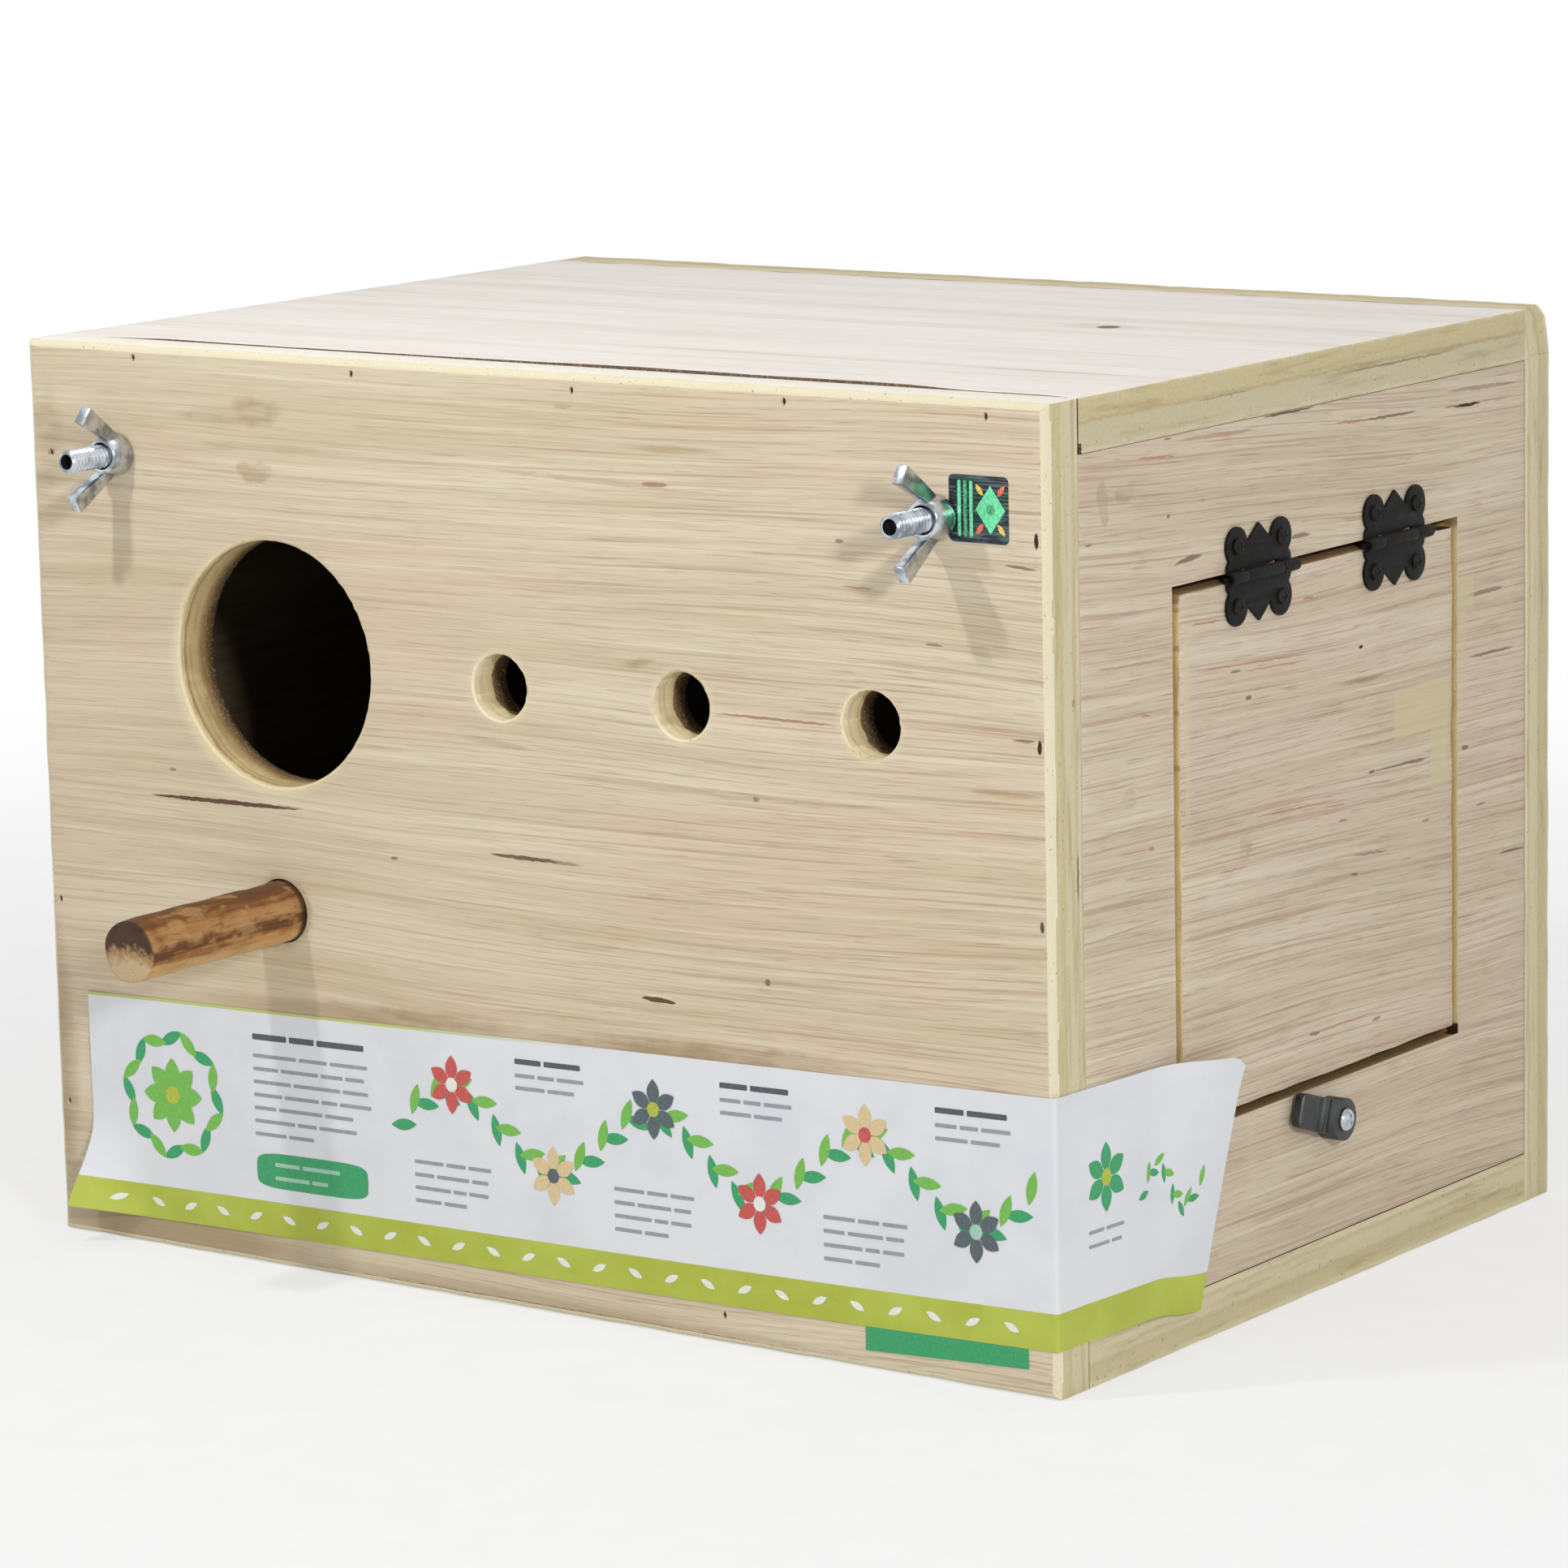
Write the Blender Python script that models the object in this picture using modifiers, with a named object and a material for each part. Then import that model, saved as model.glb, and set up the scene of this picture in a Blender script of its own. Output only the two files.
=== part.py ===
"""Plywood bird breeding box with a hinged side door, a perch and two hanging bolts.

Metres, +Z up. The origin is the centre of the underside. The front, with the
entrance, faces -Y and the side with the door faces +X.
"""

import math

import bmesh
import bpy
from mathutils import Matrix, Vector

# Carcass, 12 by 9 by 9 inches outside
BOX_WIDTH = 0.3048
BOX_DEPTH = 0.2286
BOX_HEIGHT = 0.2286
BOARD = 0.0127
BOARD_EDGE = 0.0006
SEAM = 0.0003
OVERRUN = 0.004
WELD = 0.000002

# Holes in the front, on one line
HOLES_FROM_TOP = 0.0762
ENTRANCE_BORE = 0.061
ENTRANCE_FROM_SIDE = 0.0774
VENT_BORE = 0.016
VENT_COUNT = 3
VENT_FROM_ENTRANCE = 0.0705
VENT_FROM_SIDE = 0.0489

# Perch, glued into a hole under the entrance
PERCH_DIAMETER = 0.0155
PERCH_REACH = 0.057
PERCH_BELOW_ENTRANCE = 0.0615
PERCH_EDGE = 0.0009
PERCH_GLUE = 0.0003

# Bolts and wing nuts
BOLT_FROM_SIDE = 0.0294
BOLT_FROM_TOP = 0.027
STUD_DIAMETER = 0.006
BOLT_LENGTH = 0.032
STUD_CHAMFER = 0.0005
STUD_CUP_DIAMETER = 0.0038
STUD_CUP_DEPTH = 0.0022
BOLT_HEAD_FLATS = 0.010
BOLT_HEAD_HEIGHT = 0.004
BOLT_PLAY = 0.0004
NUT_BASE_RADIUS = 0.0054
NUT_NECK_RADIUS = 0.0044
NUT_HEIGHT = 0.0062
NUT_FOOT = 0.0013
NUT_EDGE = 0.0004
WING_BREADTH = 0.0046
WING_ROOT_BREADTH = 0.0028
WING_THICKNESS = 0.0029
WING_LENGTH = 0.0125
WING_ROOT_SIDE = 0.0048
WING_ROOT_OUT = 0.0038
WING_SUNK = 0.0018
WING_FLARE = math.radians(58)
WING_EDGE = 0.0003
LEFT_NUT_TURN = math.radians(10)
RIGHT_NUT_TURN = math.radians(0)

# Door, sawn out of the right side
DOOR_OPENING_WIDTH = 0.1300
DOOR_OPENING_SILL = 0.0508
DOOR_OPENING_FROM_TOP = 0.0478
DOOR_OPENING_SHIFT = 0.0028
DOOR_KERF = 0.0022
DOOR_CORNER = 0.0008
DOOR_WORN_CORNER = 0.0028
STOP_LENGTH = 0.060
STOP_HEIGHT = 0.014
STOP_THICKNESS = 0.008
STOP_OVERLAP = 0.005

# Butterfly hinges
HINGE_FROM_SIDES = 0.03375
HINGE_SHIFT = 0.0022
LEAF_THICKNESS = 0.00065
LEAF_WIDTH = 0.0288
LEAF_REACH = 0.0117
LOBE_RADIUS = 0.0046
LOBE_END = math.radians(176)
SHOULDER_RADIUS = 0.0026
SHOULDER_HEIGHT = 0.0017
SHOULDER_INSET = 0.0003
FINIAL_REACH = 0.0116
BARREL_LENGTH = 0.0296
MIDDLE_KNUCKLE = 0.0153
KNUCKLE_GAP = 0.0003
CURL_LAP = math.radians(10)
CURL_END = math.radians(112)
PIN_RADIUS = 0.00075
PIN_PLAY = 0.00015
PIN_RECESS = 0.0009

# Hinge screws
SCREW_HEAD_RADIUS = 0.0020
SCREW_HEAD_HEIGHT = 0.0011
SCREW_SHANK_RADIUS = 0.0009
SCREW_LENGTH = 0.0090
SCREW_POINT = 0.0016
SCREW_PLAY = 0.0003
SCREW_SEAT = 0.0002
SLOT_LENGTH = 0.0024
SLOT_WIDTH = 0.0005
SLOT_DEPTH = 0.0005

# Turn button under the door
BUTTON_SHIFT = 0.0012
BUTTON_CLEARANCE = 0.0004
BUTTON_REST_TILT = math.radians(18)
BOSS_RADIUS = 0.0052
BOSS_HEIGHT = 0.0054
BLADE_REACH = 0.0185
BLADE_WIDTH = 0.0084
BLADE_LIFT = 0.0016
BLADE_TOP = 0.0040
BLADE_CORNER = 0.0015
RIDGE_OUT = 0.0084
RIDGE_RADIUS = 0.0013
RIDGE_RISE = 0.0011
BUTTON_SCREW_HEAD_RADIUS = 0.0029
BUTTON_SCREW_HEAD_HEIGHT = 0.0016
BUTTON_SCREW_SHANK_RADIUS = 0.0015
BUTTON_SCREW_GRIP = 0.0090
BUTTON_SCREW_SLOT_LENGTH = 0.0034
BUTTON_SCREW_SLOT_WIDTH = 0.0008

# Roundness, as counts of sides and the angles of a screw head's rings
LARGE_HOLE_SIDES = 64
VENT_SIDES = 32
ROD_SIDES = 32
STUD_SIDES = 24
SMALL_SIDES = 16
PILOT_SIDES = 12
LOBE_SIDES = 16
CURL_SIDES = 18
DOME_ANGLES = [math.radians(a) for a in (90, 62, 36, 12)]

# Worked out from the sizes above
HALF_WIDTH = BOX_WIDTH / 2
HALF_DEPTH = BOX_DEPTH / 2
ENTRANCE_X = ENTRANCE_FROM_SIDE - HALF_WIDTH
FIRST_VENT_X = ENTRANCE_X + VENT_FROM_ENTRANCE
VENT_PITCH = (HALF_WIDTH - VENT_FROM_SIDE - FIRST_VENT_X) / (VENT_COUNT - 1)
HOLE_LINE = BOX_HEIGHT - HOLES_FROM_TOP
FRONT_INNER = BOARD - HALF_DEPTH
SIDE_INNER = HALF_WIDTH - BOARD
INNER_DEPTH = BOX_DEPTH - 2 * (BOARD + SEAM)
INNER_HEIGHT = BOX_HEIGHT - 2 * (BOARD + SEAM)
BOLT_X = HALF_WIDTH - BOLT_FROM_SIDE
BOLT_Z = BOX_HEIGHT - BOLT_FROM_TOP
OPENING_TOP = BOX_HEIGHT - DOOR_OPENING_FROM_TOP
DOOR_OPENING_HEIGHT = OPENING_TOP - DOOR_OPENING_SILL
DOOR_WIDTH = DOOR_OPENING_WIDTH - 2 * DOOR_KERF
DOOR_HEIGHT = DOOR_OPENING_HEIGHT - 2 * DOOR_KERF
BORE_RADIUS = PIN_RADIUS + PIN_PLAY
BARREL_RADIUS = BORE_RADIUS + LEAF_THICKNESS
HINGE_X = HALF_WIDTH + SEAM + BARREL_RADIUS
HINGE_Z = OPENING_TOP - DOOR_KERF / 2
HINGE_MIDDLE = DOOR_OPENING_SHIFT + HINGE_SHIFT
HINGE_SPACING = DOOR_OPENING_WIDTH - 2 * HINGE_FROM_SIDES
LOBE_OUT = LEAF_WIDTH / 2 - LOBE_RADIUS
LOBE_UP = LEAF_REACH - LOBE_RADIUS
LEAF_FACE = HALF_WIDTH + SEAM + LEAF_THICKNESS
PILOT_RADIUS = SCREW_SHANK_RADIUS + SCREW_PLAY
BUTTON_Y = DOOR_OPENING_SHIFT + BUTTON_SHIFT

# The lowest point that the door's inner edge sweeps, and the blade kept below it at rest
DOOR_FOOT_DROP = HINGE_Z - DOOR_OPENING_SILL - DOOR_KERF
DOOR_SWEEP_LOW = HINGE_Z - math.hypot(HINGE_X - SIDE_INNER, DOOR_FOOT_DROP)
BLADE_CORNER_OUT = (BLADE_REACH - BLADE_CORNER) * math.sin(BUTTON_REST_TILT)
BLADE_CORNER_UP = (BLADE_WIDTH / 2 - BLADE_CORNER) * math.cos(BUTTON_REST_TILT)
BUTTON_Z = DOOR_SWEEP_LOW - BUTTON_CLEARANCE - BLADE_CORNER_OUT - BLADE_CORNER_UP - BLADE_CORNER

# Local axes of a piece, as the world directions of its own X, Y and Z
FACING_FRONT = Matrix(((1, 0, 0), (0, 0, -1), (0, 1, 0)))
FACING_RIGHT = Matrix(((0, 0, 1), (1, 0, 0), (0, 1, 0)))

COLOURS = {
    "ply": ((0.68, 0.56, 0.42), 0.75, 0.0),
    "perch": ((0.36, 0.21, 0.09), 0.65, 0.0),
    "zinc": ((0.72, 0.74, 0.76), 0.28, 1.0),
    "black_iron": ((0.035, 0.033, 0.032), 0.45, 0.6),
    "black_plastic": ((0.030, 0.034, 0.036), 0.40, 0.0),
}

PARTS = "bird_breeding_box"
CUTTERS = "cutters"


def start_scene():
    """Empty the scene and make the two collections."""
    for item in list(bpy.data.objects):
        bpy.data.objects.remove(item, do_unlink=True)
    for name in (PARTS, CUTTERS):
        collection = bpy.data.collections.new(name)
        bpy.context.scene.collection.children.link(collection)


def new_material(name, kind):
    """Principled material in one of the named finishes."""
    colour, roughness, metallic = COLOURS[kind]
    material = bpy.data.materials.new(name)
    material.use_nodes = True
    shader = material.node_tree.nodes["Principled BSDF"]
    shader.inputs["Base Color"].default_value = (*colour, 1)
    shader.inputs["Roughness"].default_value = roughness
    shader.inputs["Metallic"].default_value = metallic
    material.diffuse_color = (*colour, 1)
    return material


def add_object(name, mesh, kind):
    """Put a mesh in the scene, as a part with a finish, or as a cutter where kind is None."""
    item = bpy.data.objects.new(name, mesh)
    if kind is None:
        bpy.data.collections[CUTTERS].objects.link(item)
        item.hide_render = True
        item.display_type = "WIRE"
    else:
        bpy.data.collections[PARTS].objects.link(item)
        mesh.materials.append(new_material(name + "_finish", kind))
    return item


def place(item, position, facing=None):
    """Stand a piece at a position, turned so that its own axes take the facing."""
    turn = Matrix.Identity(3) if facing is None else facing
    item.matrix_world = Matrix.Translation(Vector(position)) @ turn.to_4x4()
    return item


def finish_mesh(name, bm):
    """Turn a bmesh into mesh data."""
    mesh = bpy.data.meshes.new(name)
    bm.to_mesh(mesh)
    bm.free()
    return mesh


def block(name, size, centre, kind=None):
    """Box of the given size about a centre."""
    bm = bmesh.new()
    bmesh.ops.create_cube(bm, size=1)
    bmesh.ops.scale(bm, vec=Vector(size), verts=bm.verts)
    return place(add_object(name, finish_mesh(name, bm), kind), centre)


def rod(name, radius, length, centre, facing, sides, kind=None):
    """Round bar along its own Z, centred on a point."""
    bm = bmesh.new()
    bmesh.ops.create_cone(bm, cap_ends=True, segments=sides, radius1=radius, radius2=radius, depth=length)
    return place(add_object(name, finish_mesh(name, bm), kind), centre, facing)


def turned(name, profile, sides, kind=None):
    """Revolve a profile of (radius, height) points about Z; it runs from the top down."""
    mesh = bpy.data.meshes.new(name)
    points = [(radius, 0, height) for radius, height in profile]
    mesh.from_pydata(points, [(i, i + 1) for i in range(len(points) - 1)], [])
    item = add_object(name, mesh, kind)
    screw = item.modifiers.new("turn", "SCREW")
    screw.steps = sides
    screw.render_steps = sides
    screw.use_merge_vertices = True
    screw.merge_threshold = WELD
    return item


def plate(name, outline, thickness, kind=None):
    """Flat plate cut to an outline in its own XY plane, centred on its thickness."""
    curve = bpy.data.curves.new(name + "_outline", "CURVE")
    curve.dimensions = "2D"
    curve.fill_mode = "BOTH"
    curve.extrude = thickness / 2
    spline = curve.splines.new("POLY")
    spline.points.add(len(outline) - 1)
    for point, (x, y) in zip(spline.points, outline):
        point.co = (x, y, 0, 1)
    spline.use_cyclic_u = True
    drawing = bpy.data.objects.new(name + "_outline", curve)
    bpy.data.collections[CUTTERS].objects.link(drawing)
    graph = bpy.context.evaluated_depsgraph_get()
    mesh = bpy.data.meshes.new_from_object(drawing.evaluated_get(graph))
    bpy.data.objects.remove(drawing, do_unlink=True)
    bm = bmesh.new()
    bm.from_mesh(mesh)
    bmesh.ops.remove_doubles(bm, verts=bm.verts, dist=WELD)
    bm.to_mesh(mesh)
    bm.free()
    mesh.name = name
    return add_object(name, mesh, kind)


def combine(item, operation, tools):
    """Add an exact Boolean with each tool."""
    for tool in tools:
        boolean = item.modifiers.new(tool.name, "BOOLEAN")
        boolean.operation = operation
        boolean.object = tool
        boolean.solver = "EXACT"
    return item


def soften(item, width, segments=2):
    """Round the sharp edges."""
    bevel = item.modifiers.new("soft_edges", "BEVEL")
    bevel.width = width
    bevel.segments = segments
    bevel.limit_method = "ANGLE"
    bevel.angle_limit = math.radians(40)
    return item


def shade_round(item):
    """Shade the turned faces smooth and keep the hard edges."""
    item.data.shade_smooth()
    item.data.set_sharp_from_angle(angle=math.radians(35))
    return item


def arc(centre, radius, start, end, steps):
    """Points of an arc, both ends included."""
    points = []
    for i in range(steps + 1):
        angle = start + (end - start) * i / steps
        points.append((centre[0] + radius * math.cos(angle), centre[1] + radius * math.sin(angle)))
    return points


def joint_empty(name, position):
    """Empty that marks the axis a moving group turns about."""
    empty = bpy.data.objects.new(name, None)
    bpy.data.collections[PARTS].objects.link(empty)
    empty.location = position
    bpy.context.view_layer.update()
    return empty


def carry(empty, items):
    """Hang pieces on a joint's empty without moving them."""
    bpy.context.view_layer.update()
    for item in items:
        item.parent = empty
        item.matrix_parent_inverse = empty.matrix_world.inverted()


def board(name, size, centre, cutters=()):
    """Plywood board with its cut-outs and softened edges."""
    item = block(name, size, centre, "ply")
    combine(item, "DIFFERENCE", cutters)
    soften(item, BOARD_EDGE)
    return item


def front_hole(name, diameter, x, z, sides):
    """Cutter for a round hole through the front."""
    centre = (x, BOARD / 2 - HALF_DEPTH, z)
    return rod(name, diameter / 2, BOARD + 2 * OVERRUN, centre, FACING_FRONT, sides)


def make_front():
    """Front board with entrance, vents, perch hole and bolt holes."""
    cutters = [front_hole("entrance_cut", ENTRANCE_BORE, ENTRANCE_X, HOLE_LINE, LARGE_HOLE_SIDES)]
    for i in range(VENT_COUNT):
        x = FIRST_VENT_X + i * VENT_PITCH
        cutters.append(front_hole(f"vent_cut_{i + 1}", VENT_BORE, x, HOLE_LINE, VENT_SIDES))
    perch_hole = PERCH_DIAMETER + 2 * PERCH_GLUE
    perch_z = HOLE_LINE - PERCH_BELOW_ENTRANCE
    cutters.append(front_hole("perch_cut", perch_hole, ENTRANCE_X, perch_z, ROD_SIDES))
    for name, side in (("left", -1), ("right", 1)):
        bolt_hole = STUD_DIAMETER + 2 * BOLT_PLAY
        cutters.append(front_hole(f"bolt_cut_{name}", bolt_hole, side * BOLT_X, BOLT_Z, STUD_SIDES))
    centre = (0, BOARD / 2 - HALF_DEPTH, BOX_HEIGHT / 2)
    board("front_panel", (BOX_WIDTH, BOARD, BOX_HEIGHT), centre, cutters)


def make_carcass():
    """Back, top, bottom and left side boards."""
    board("back_panel", (BOX_WIDTH, BOARD, BOX_HEIGHT), (0, HALF_DEPTH - BOARD / 2, BOX_HEIGHT / 2))
    flat = (BOX_WIDTH, INNER_DEPTH, BOARD)
    board("top_panel", flat, (0, 0, BOX_HEIGHT - BOARD / 2))
    board("bottom_panel", flat, (0, 0, BOARD / 2))
    side = (BOARD, INNER_DEPTH, INNER_HEIGHT)
    board("left_side_panel", side, (BOARD / 2 - HALF_WIDTH, 0, BOX_HEIGHT / 2))


def hinge_screw_places():
    """Places of the hinge screws, as (hinge, leaf, side, y, z)."""
    places = []
    for hinge, along in (("front", -1), ("rear", 1)):
        hinge_y = HINGE_MIDDLE + along * HINGE_SPACING / 2
        for leaf, up in (("frame", 1), ("door", -1)):
            for side, out in (("a", -1), ("b", 1)):
                places.append((hinge, leaf, side, hinge_y + out * LOBE_OUT, HINGE_Z + up * LOBE_UP))
    return places


def pilot_cutters(leaf_name):
    """Cutters for the pilot holes under one kind of leaf."""
    cutters = []
    for hinge, leaf, side, y, z in hinge_screw_places():
        if leaf == leaf_name:
            name = f"pilot_{hinge}_{leaf}_{side}"
            mouth = (HALF_WIDTH, y, z)
            cutters.append(rod(name, PILOT_RADIUS, 2 * SCREW_LENGTH, mouth, FACING_RIGHT, PILOT_SIDES))
    return cutters


def make_right_side():
    """Right side board with the sawn opening, and the stop behind its sill."""
    opening_size = (BOARD + 2 * OVERRUN, DOOR_OPENING_WIDTH, DOOR_OPENING_HEIGHT)
    middle = HALF_WIDTH - BOARD / 2
    opening_centre = (middle, DOOR_OPENING_SHIFT, DOOR_OPENING_SILL + DOOR_OPENING_HEIGHT / 2)
    cutters = [block("opening_cut", opening_size, opening_centre)]
    cutters += pilot_cutters("frame")
    pilot = BUTTON_SCREW_SHANK_RADIUS + SCREW_PLAY
    depth = BUTTON_SCREW_GRIP + SCREW_PLAY
    centre = (HALF_WIDTH, BUTTON_Y, BUTTON_Z)
    cutters.append(rod("pilot_button", pilot, 2 * depth, centre, FACING_RIGHT, PILOT_SIDES))
    board("right_side_panel", (BOARD, INNER_DEPTH, INNER_HEIGHT), (middle, 0, BOX_HEIGHT / 2), cutters)
    stop_top = DOOR_OPENING_SILL + DOOR_KERF + STOP_OVERLAP
    stop_x = SIDE_INNER - SEAM - STOP_THICKNESS / 2
    stop = block("door_stop", (STOP_THICKNESS, STOP_LENGTH, STOP_HEIGHT),
                 (stop_x, DOOR_OPENING_SHIFT, stop_top - STOP_HEIGHT / 2), "ply")
    soften(stop, BOARD_EDGE)


def make_door():
    """Door board, sawn from the side, its lower rear corner worn round."""
    outline = []
    corners = ((1, 1, DOOR_CORNER), (-1, 1, DOOR_CORNER), (-1, -1, DOOR_CORNER), (1, -1, DOOR_WORN_CORNER))
    for i, (side, up, radius) in enumerate(corners):
        centre = (side * (DOOR_WIDTH / 2 - radius), up * (DOOR_HEIGHT / 2 - radius))
        outline += arc(centre, radius, i * math.pi / 2, (i + 1) * math.pi / 2, 4)
    door = plate("side_door", outline, BOARD, "ply")
    centre = (HALF_WIDTH - BOARD / 2, DOOR_OPENING_SHIFT, DOOR_OPENING_SILL + DOOR_OPENING_HEIGHT / 2)
    place(door, centre, FACING_RIGHT)
    combine(door, "DIFFERENCE", pilot_cutters("door"))
    soften(door, BOARD_EDGE)
    return door


def make_perch():
    """Round perch, its inner end flush with the inner face of the front."""
    radius = PERCH_DIAMETER / 2
    length = PERCH_REACH + BOARD
    profile = [(0, length), (radius - PERCH_EDGE, length), (radius, length - PERCH_EDGE),
               (radius, PERCH_EDGE), (radius - PERCH_EDGE, 0), (0, 0)]
    perch = shade_round(turned("perch", profile, ROD_SIDES, "perch"))
    place(perch, (ENTRANCE_X, FRONT_INNER, HOLE_LINE - PERCH_BELOW_ENTRANCE), FACING_FRONT)


def make_bolt(name, x):
    """Hexagon bolt from inside, its cupped end standing out of the front."""
    radius = STUD_DIAMETER / 2
    cup = STUD_CUP_DIAMETER / 2
    profile = [(0, BOLT_LENGTH - STUD_CUP_DEPTH), (cup, BOLT_LENGTH - STUD_CUP_DEPTH), (cup, BOLT_LENGTH),
               (radius - STUD_CHAMFER, BOLT_LENGTH), (radius, BOLT_LENGTH - STUD_CHAMFER),
               (radius, -BOLT_HEAD_HEIGHT / 2), (0, -BOLT_HEAD_HEIGHT / 2)]
    bolt = shade_round(turned(name, profile, STUD_SIDES, "zinc"))
    under_head = (x, FRONT_INNER + SEAM, BOLT_Z)
    place(bolt, under_head, FACING_FRONT)
    corner = BOLT_HEAD_FLATS / 2 / math.cos(math.pi / 6)
    head_centre = (x, FRONT_INNER + SEAM + BOLT_HEAD_HEIGHT / 2, BOLT_Z)
    head = rod(name + "_head", corner, BOLT_HEAD_HEIGHT, head_centre, FACING_FRONT, 6)
    soften(head, NUT_EDGE)
    combine(bolt, "UNION", [head])


def wing_outline(side):
    """Outline of one wing, as (sideways, out), from inside the hub to the square end."""
    along = Vector((math.cos(WING_FLARE), math.sin(WING_FLARE)))
    across = Vector((math.sin(WING_FLARE), -math.cos(WING_FLARE)))
    root = Vector((WING_ROOT_SIDE, WING_ROOT_OUT))
    low = root - along * WING_SUNK
    tip = root + along * WING_LENGTH
    narrow = across * WING_ROOT_BREADTH / 2
    broad = across * WING_BREADTH / 2
    points = [low + narrow, root + narrow, tip + broad, tip - broad, root - narrow, low - narrow]
    return [(side * x, y) for x, y in points]


def make_wing_nut(name, x, turn):
    """Wing nut: a turned hub and two square-ended wings that flare forward."""
    profile = [(0, NUT_HEIGHT), (NUT_NECK_RADIUS - NUT_EDGE, NUT_HEIGHT),
               (NUT_NECK_RADIUS, NUT_HEIGHT - NUT_EDGE), (NUT_BASE_RADIUS, NUT_FOOT),
               (NUT_BASE_RADIUS, NUT_EDGE), (NUT_BASE_RADIUS - NUT_EDGE, 0), (0, 0)]
    nut = shade_round(turned(name, profile, ROD_SIDES, "zinc"))
    seat = (x, -HALF_DEPTH - SEAM, BOLT_Z)
    facing = FACING_FRONT @ Matrix.Rotation(math.pi / 2 - turn, 3, "Z")
    wing_facing = facing @ Matrix.Rotation(math.pi / 2, 3, "X")
    place(nut, seat, facing)
    wings = []
    for wing_name, side in (("_wing_a", 1), ("_wing_b", -1)):
        wing = plate(name + wing_name, wing_outline(side), WING_THICKNESS)
        wings.append(place(wing, seat, wing_facing))
    combine(nut, "UNION", wings)
    soften(nut, WING_EDGE)
    bore_radius = STUD_DIAMETER / 2 + BOLT_PLAY
    bore = rod(name + "_bore", bore_radius, 2 * BOLT_LENGTH, seat, facing, STUD_SIDES)
    combine(nut, "DIFFERENCE", [bore])
    return nut, seat


def make_hanging_hardware():
    """Both bolts with their wing nuts."""
    for name, side, turn in (("left", -1, LEFT_NUT_TURN), ("right", 1, RIGHT_NUT_TURN)):
        x = side * BOLT_X
        make_bolt(f"bolt_{name}", x)
        nut, seat = make_wing_nut(f"wing_nut_{name}", x, turn)
        carry(joint_empty(f"wing_nut_{name}_axis", seat), [nut])


def leaf_half_outline():
    """Right half of a leaf above its barrel, from the shoulder round the lobe to the finial."""
    shoulder = (LEAF_WIDTH / 2 - SHOULDER_INSET - SHOULDER_RADIUS, SHOULDER_HEIGHT)
    lobe = (LOBE_OUT, LOBE_UP)
    gap = math.dist(shoulder, lobe)
    heading = math.atan2(lobe[1] - shoulder[1], lobe[0] - shoulder[0])
    unlike = SHOULDER_RADIUS ** 2 - LOBE_RADIUS ** 2
    from_shoulder = math.acos((gap ** 2 + unlike) / (2 * gap * SHOULDER_RADIUS))
    from_lobe = math.acos((gap ** 2 - unlike) / (2 * gap * LOBE_RADIUS))
    start = -math.asin(SHOULDER_HEIGHT / SHOULDER_RADIUS)
    points = arc(shoulder, SHOULDER_RADIUS, start, heading - from_shoulder, 6)
    return points + arc(lobe, LOBE_RADIUS, heading + from_lobe - math.pi, LOBE_END, LOBE_SIDES)[1:]


def leaf_outline():
    """Whole leaf, from the barrel's axis to the finial's point."""
    half = leaf_half_outline()
    return half + [(0, FINIAL_REACH)] + [(-x, y) for x, y in reversed(half)]


def curl_outline():
    """Cross section of a rolled knuckle, in its own XY plane, about the pin."""
    start = math.pi - CURL_LAP
    end = 2 * math.pi + CURL_END
    outer = arc((0, 0), BARREL_RADIUS, start, end, CURL_SIDES)
    inner = arc((0, 0), BORE_RADIUS, end, start, CURL_SIDES)
    return outer + inner


def make_leaf(name, y, up, spans, other_spans):
    """Hinge leaf with its rolled knuckles; up is 1 on the frame and -1 on the door."""
    outline = [(x, up * height) for x, height in leaf_outline()]
    leaf = plate(name, outline, LEAF_THICKNESS, "black_iron")
    leaf_x = LEAF_FACE - LEAF_THICKNESS / 2
    place(leaf, (leaf_x, y, HINGE_Z), FACING_RIGHT)
    room = []
    for i, (low, high) in enumerate(other_spans):
        size = (2 * OVERRUN, high - low + 2 * KNUCKLE_GAP, 2 * (BARREL_RADIUS + KNUCKLE_GAP))
        room.append(block(f"{name}_room_{i + 1}", size, (leaf_x, y + (low + high) / 2, HINGE_Z)))
    combine(leaf, "DIFFERENCE", room)
    section = [(x, up * height) for x, height in curl_outline()]
    curls = []
    for i, (low, high) in enumerate(spans):
        curl = plate(f"{name}_curl_{i + 1}", section, high - low)
        curls.append(place(curl, (HINGE_X, y + (low + high) / 2, HINGE_Z), FACING_FRONT))
    combine(leaf, "UNION", curls)
    return leaf


def turned_screw(name, head_radius, head_height, shank_radius, length, kind):
    """Round head screw, its head's underside at the origin and its head toward +Z."""
    dome = [(head_radius * math.cos(a), head_height * math.sin(a)) for a in DOME_ANGLES]
    profile = [(0, dome[0][1])] + dome[1:] + [(head_radius, 0), (shank_radius, 0),
                                              (shank_radius, SCREW_POINT - length), (0, -length)]
    return shade_round(turned(name, profile, SMALL_SIDES, kind))


def cross_slots(name, length, width, top, position):
    """Two crossed cutters for a screw's recess, on a screw that faces +X."""
    deep = top - SLOT_DEPTH
    x = position[0] + deep + OVERRUN / 2
    flat = block(name + "_slot_a", (OVERRUN, length, width), (x, position[1], position[2]))
    tall = block(name + "_slot_b", (OVERRUN, width, length), (x, position[1], position[2]))
    return [flat, tall]


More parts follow.
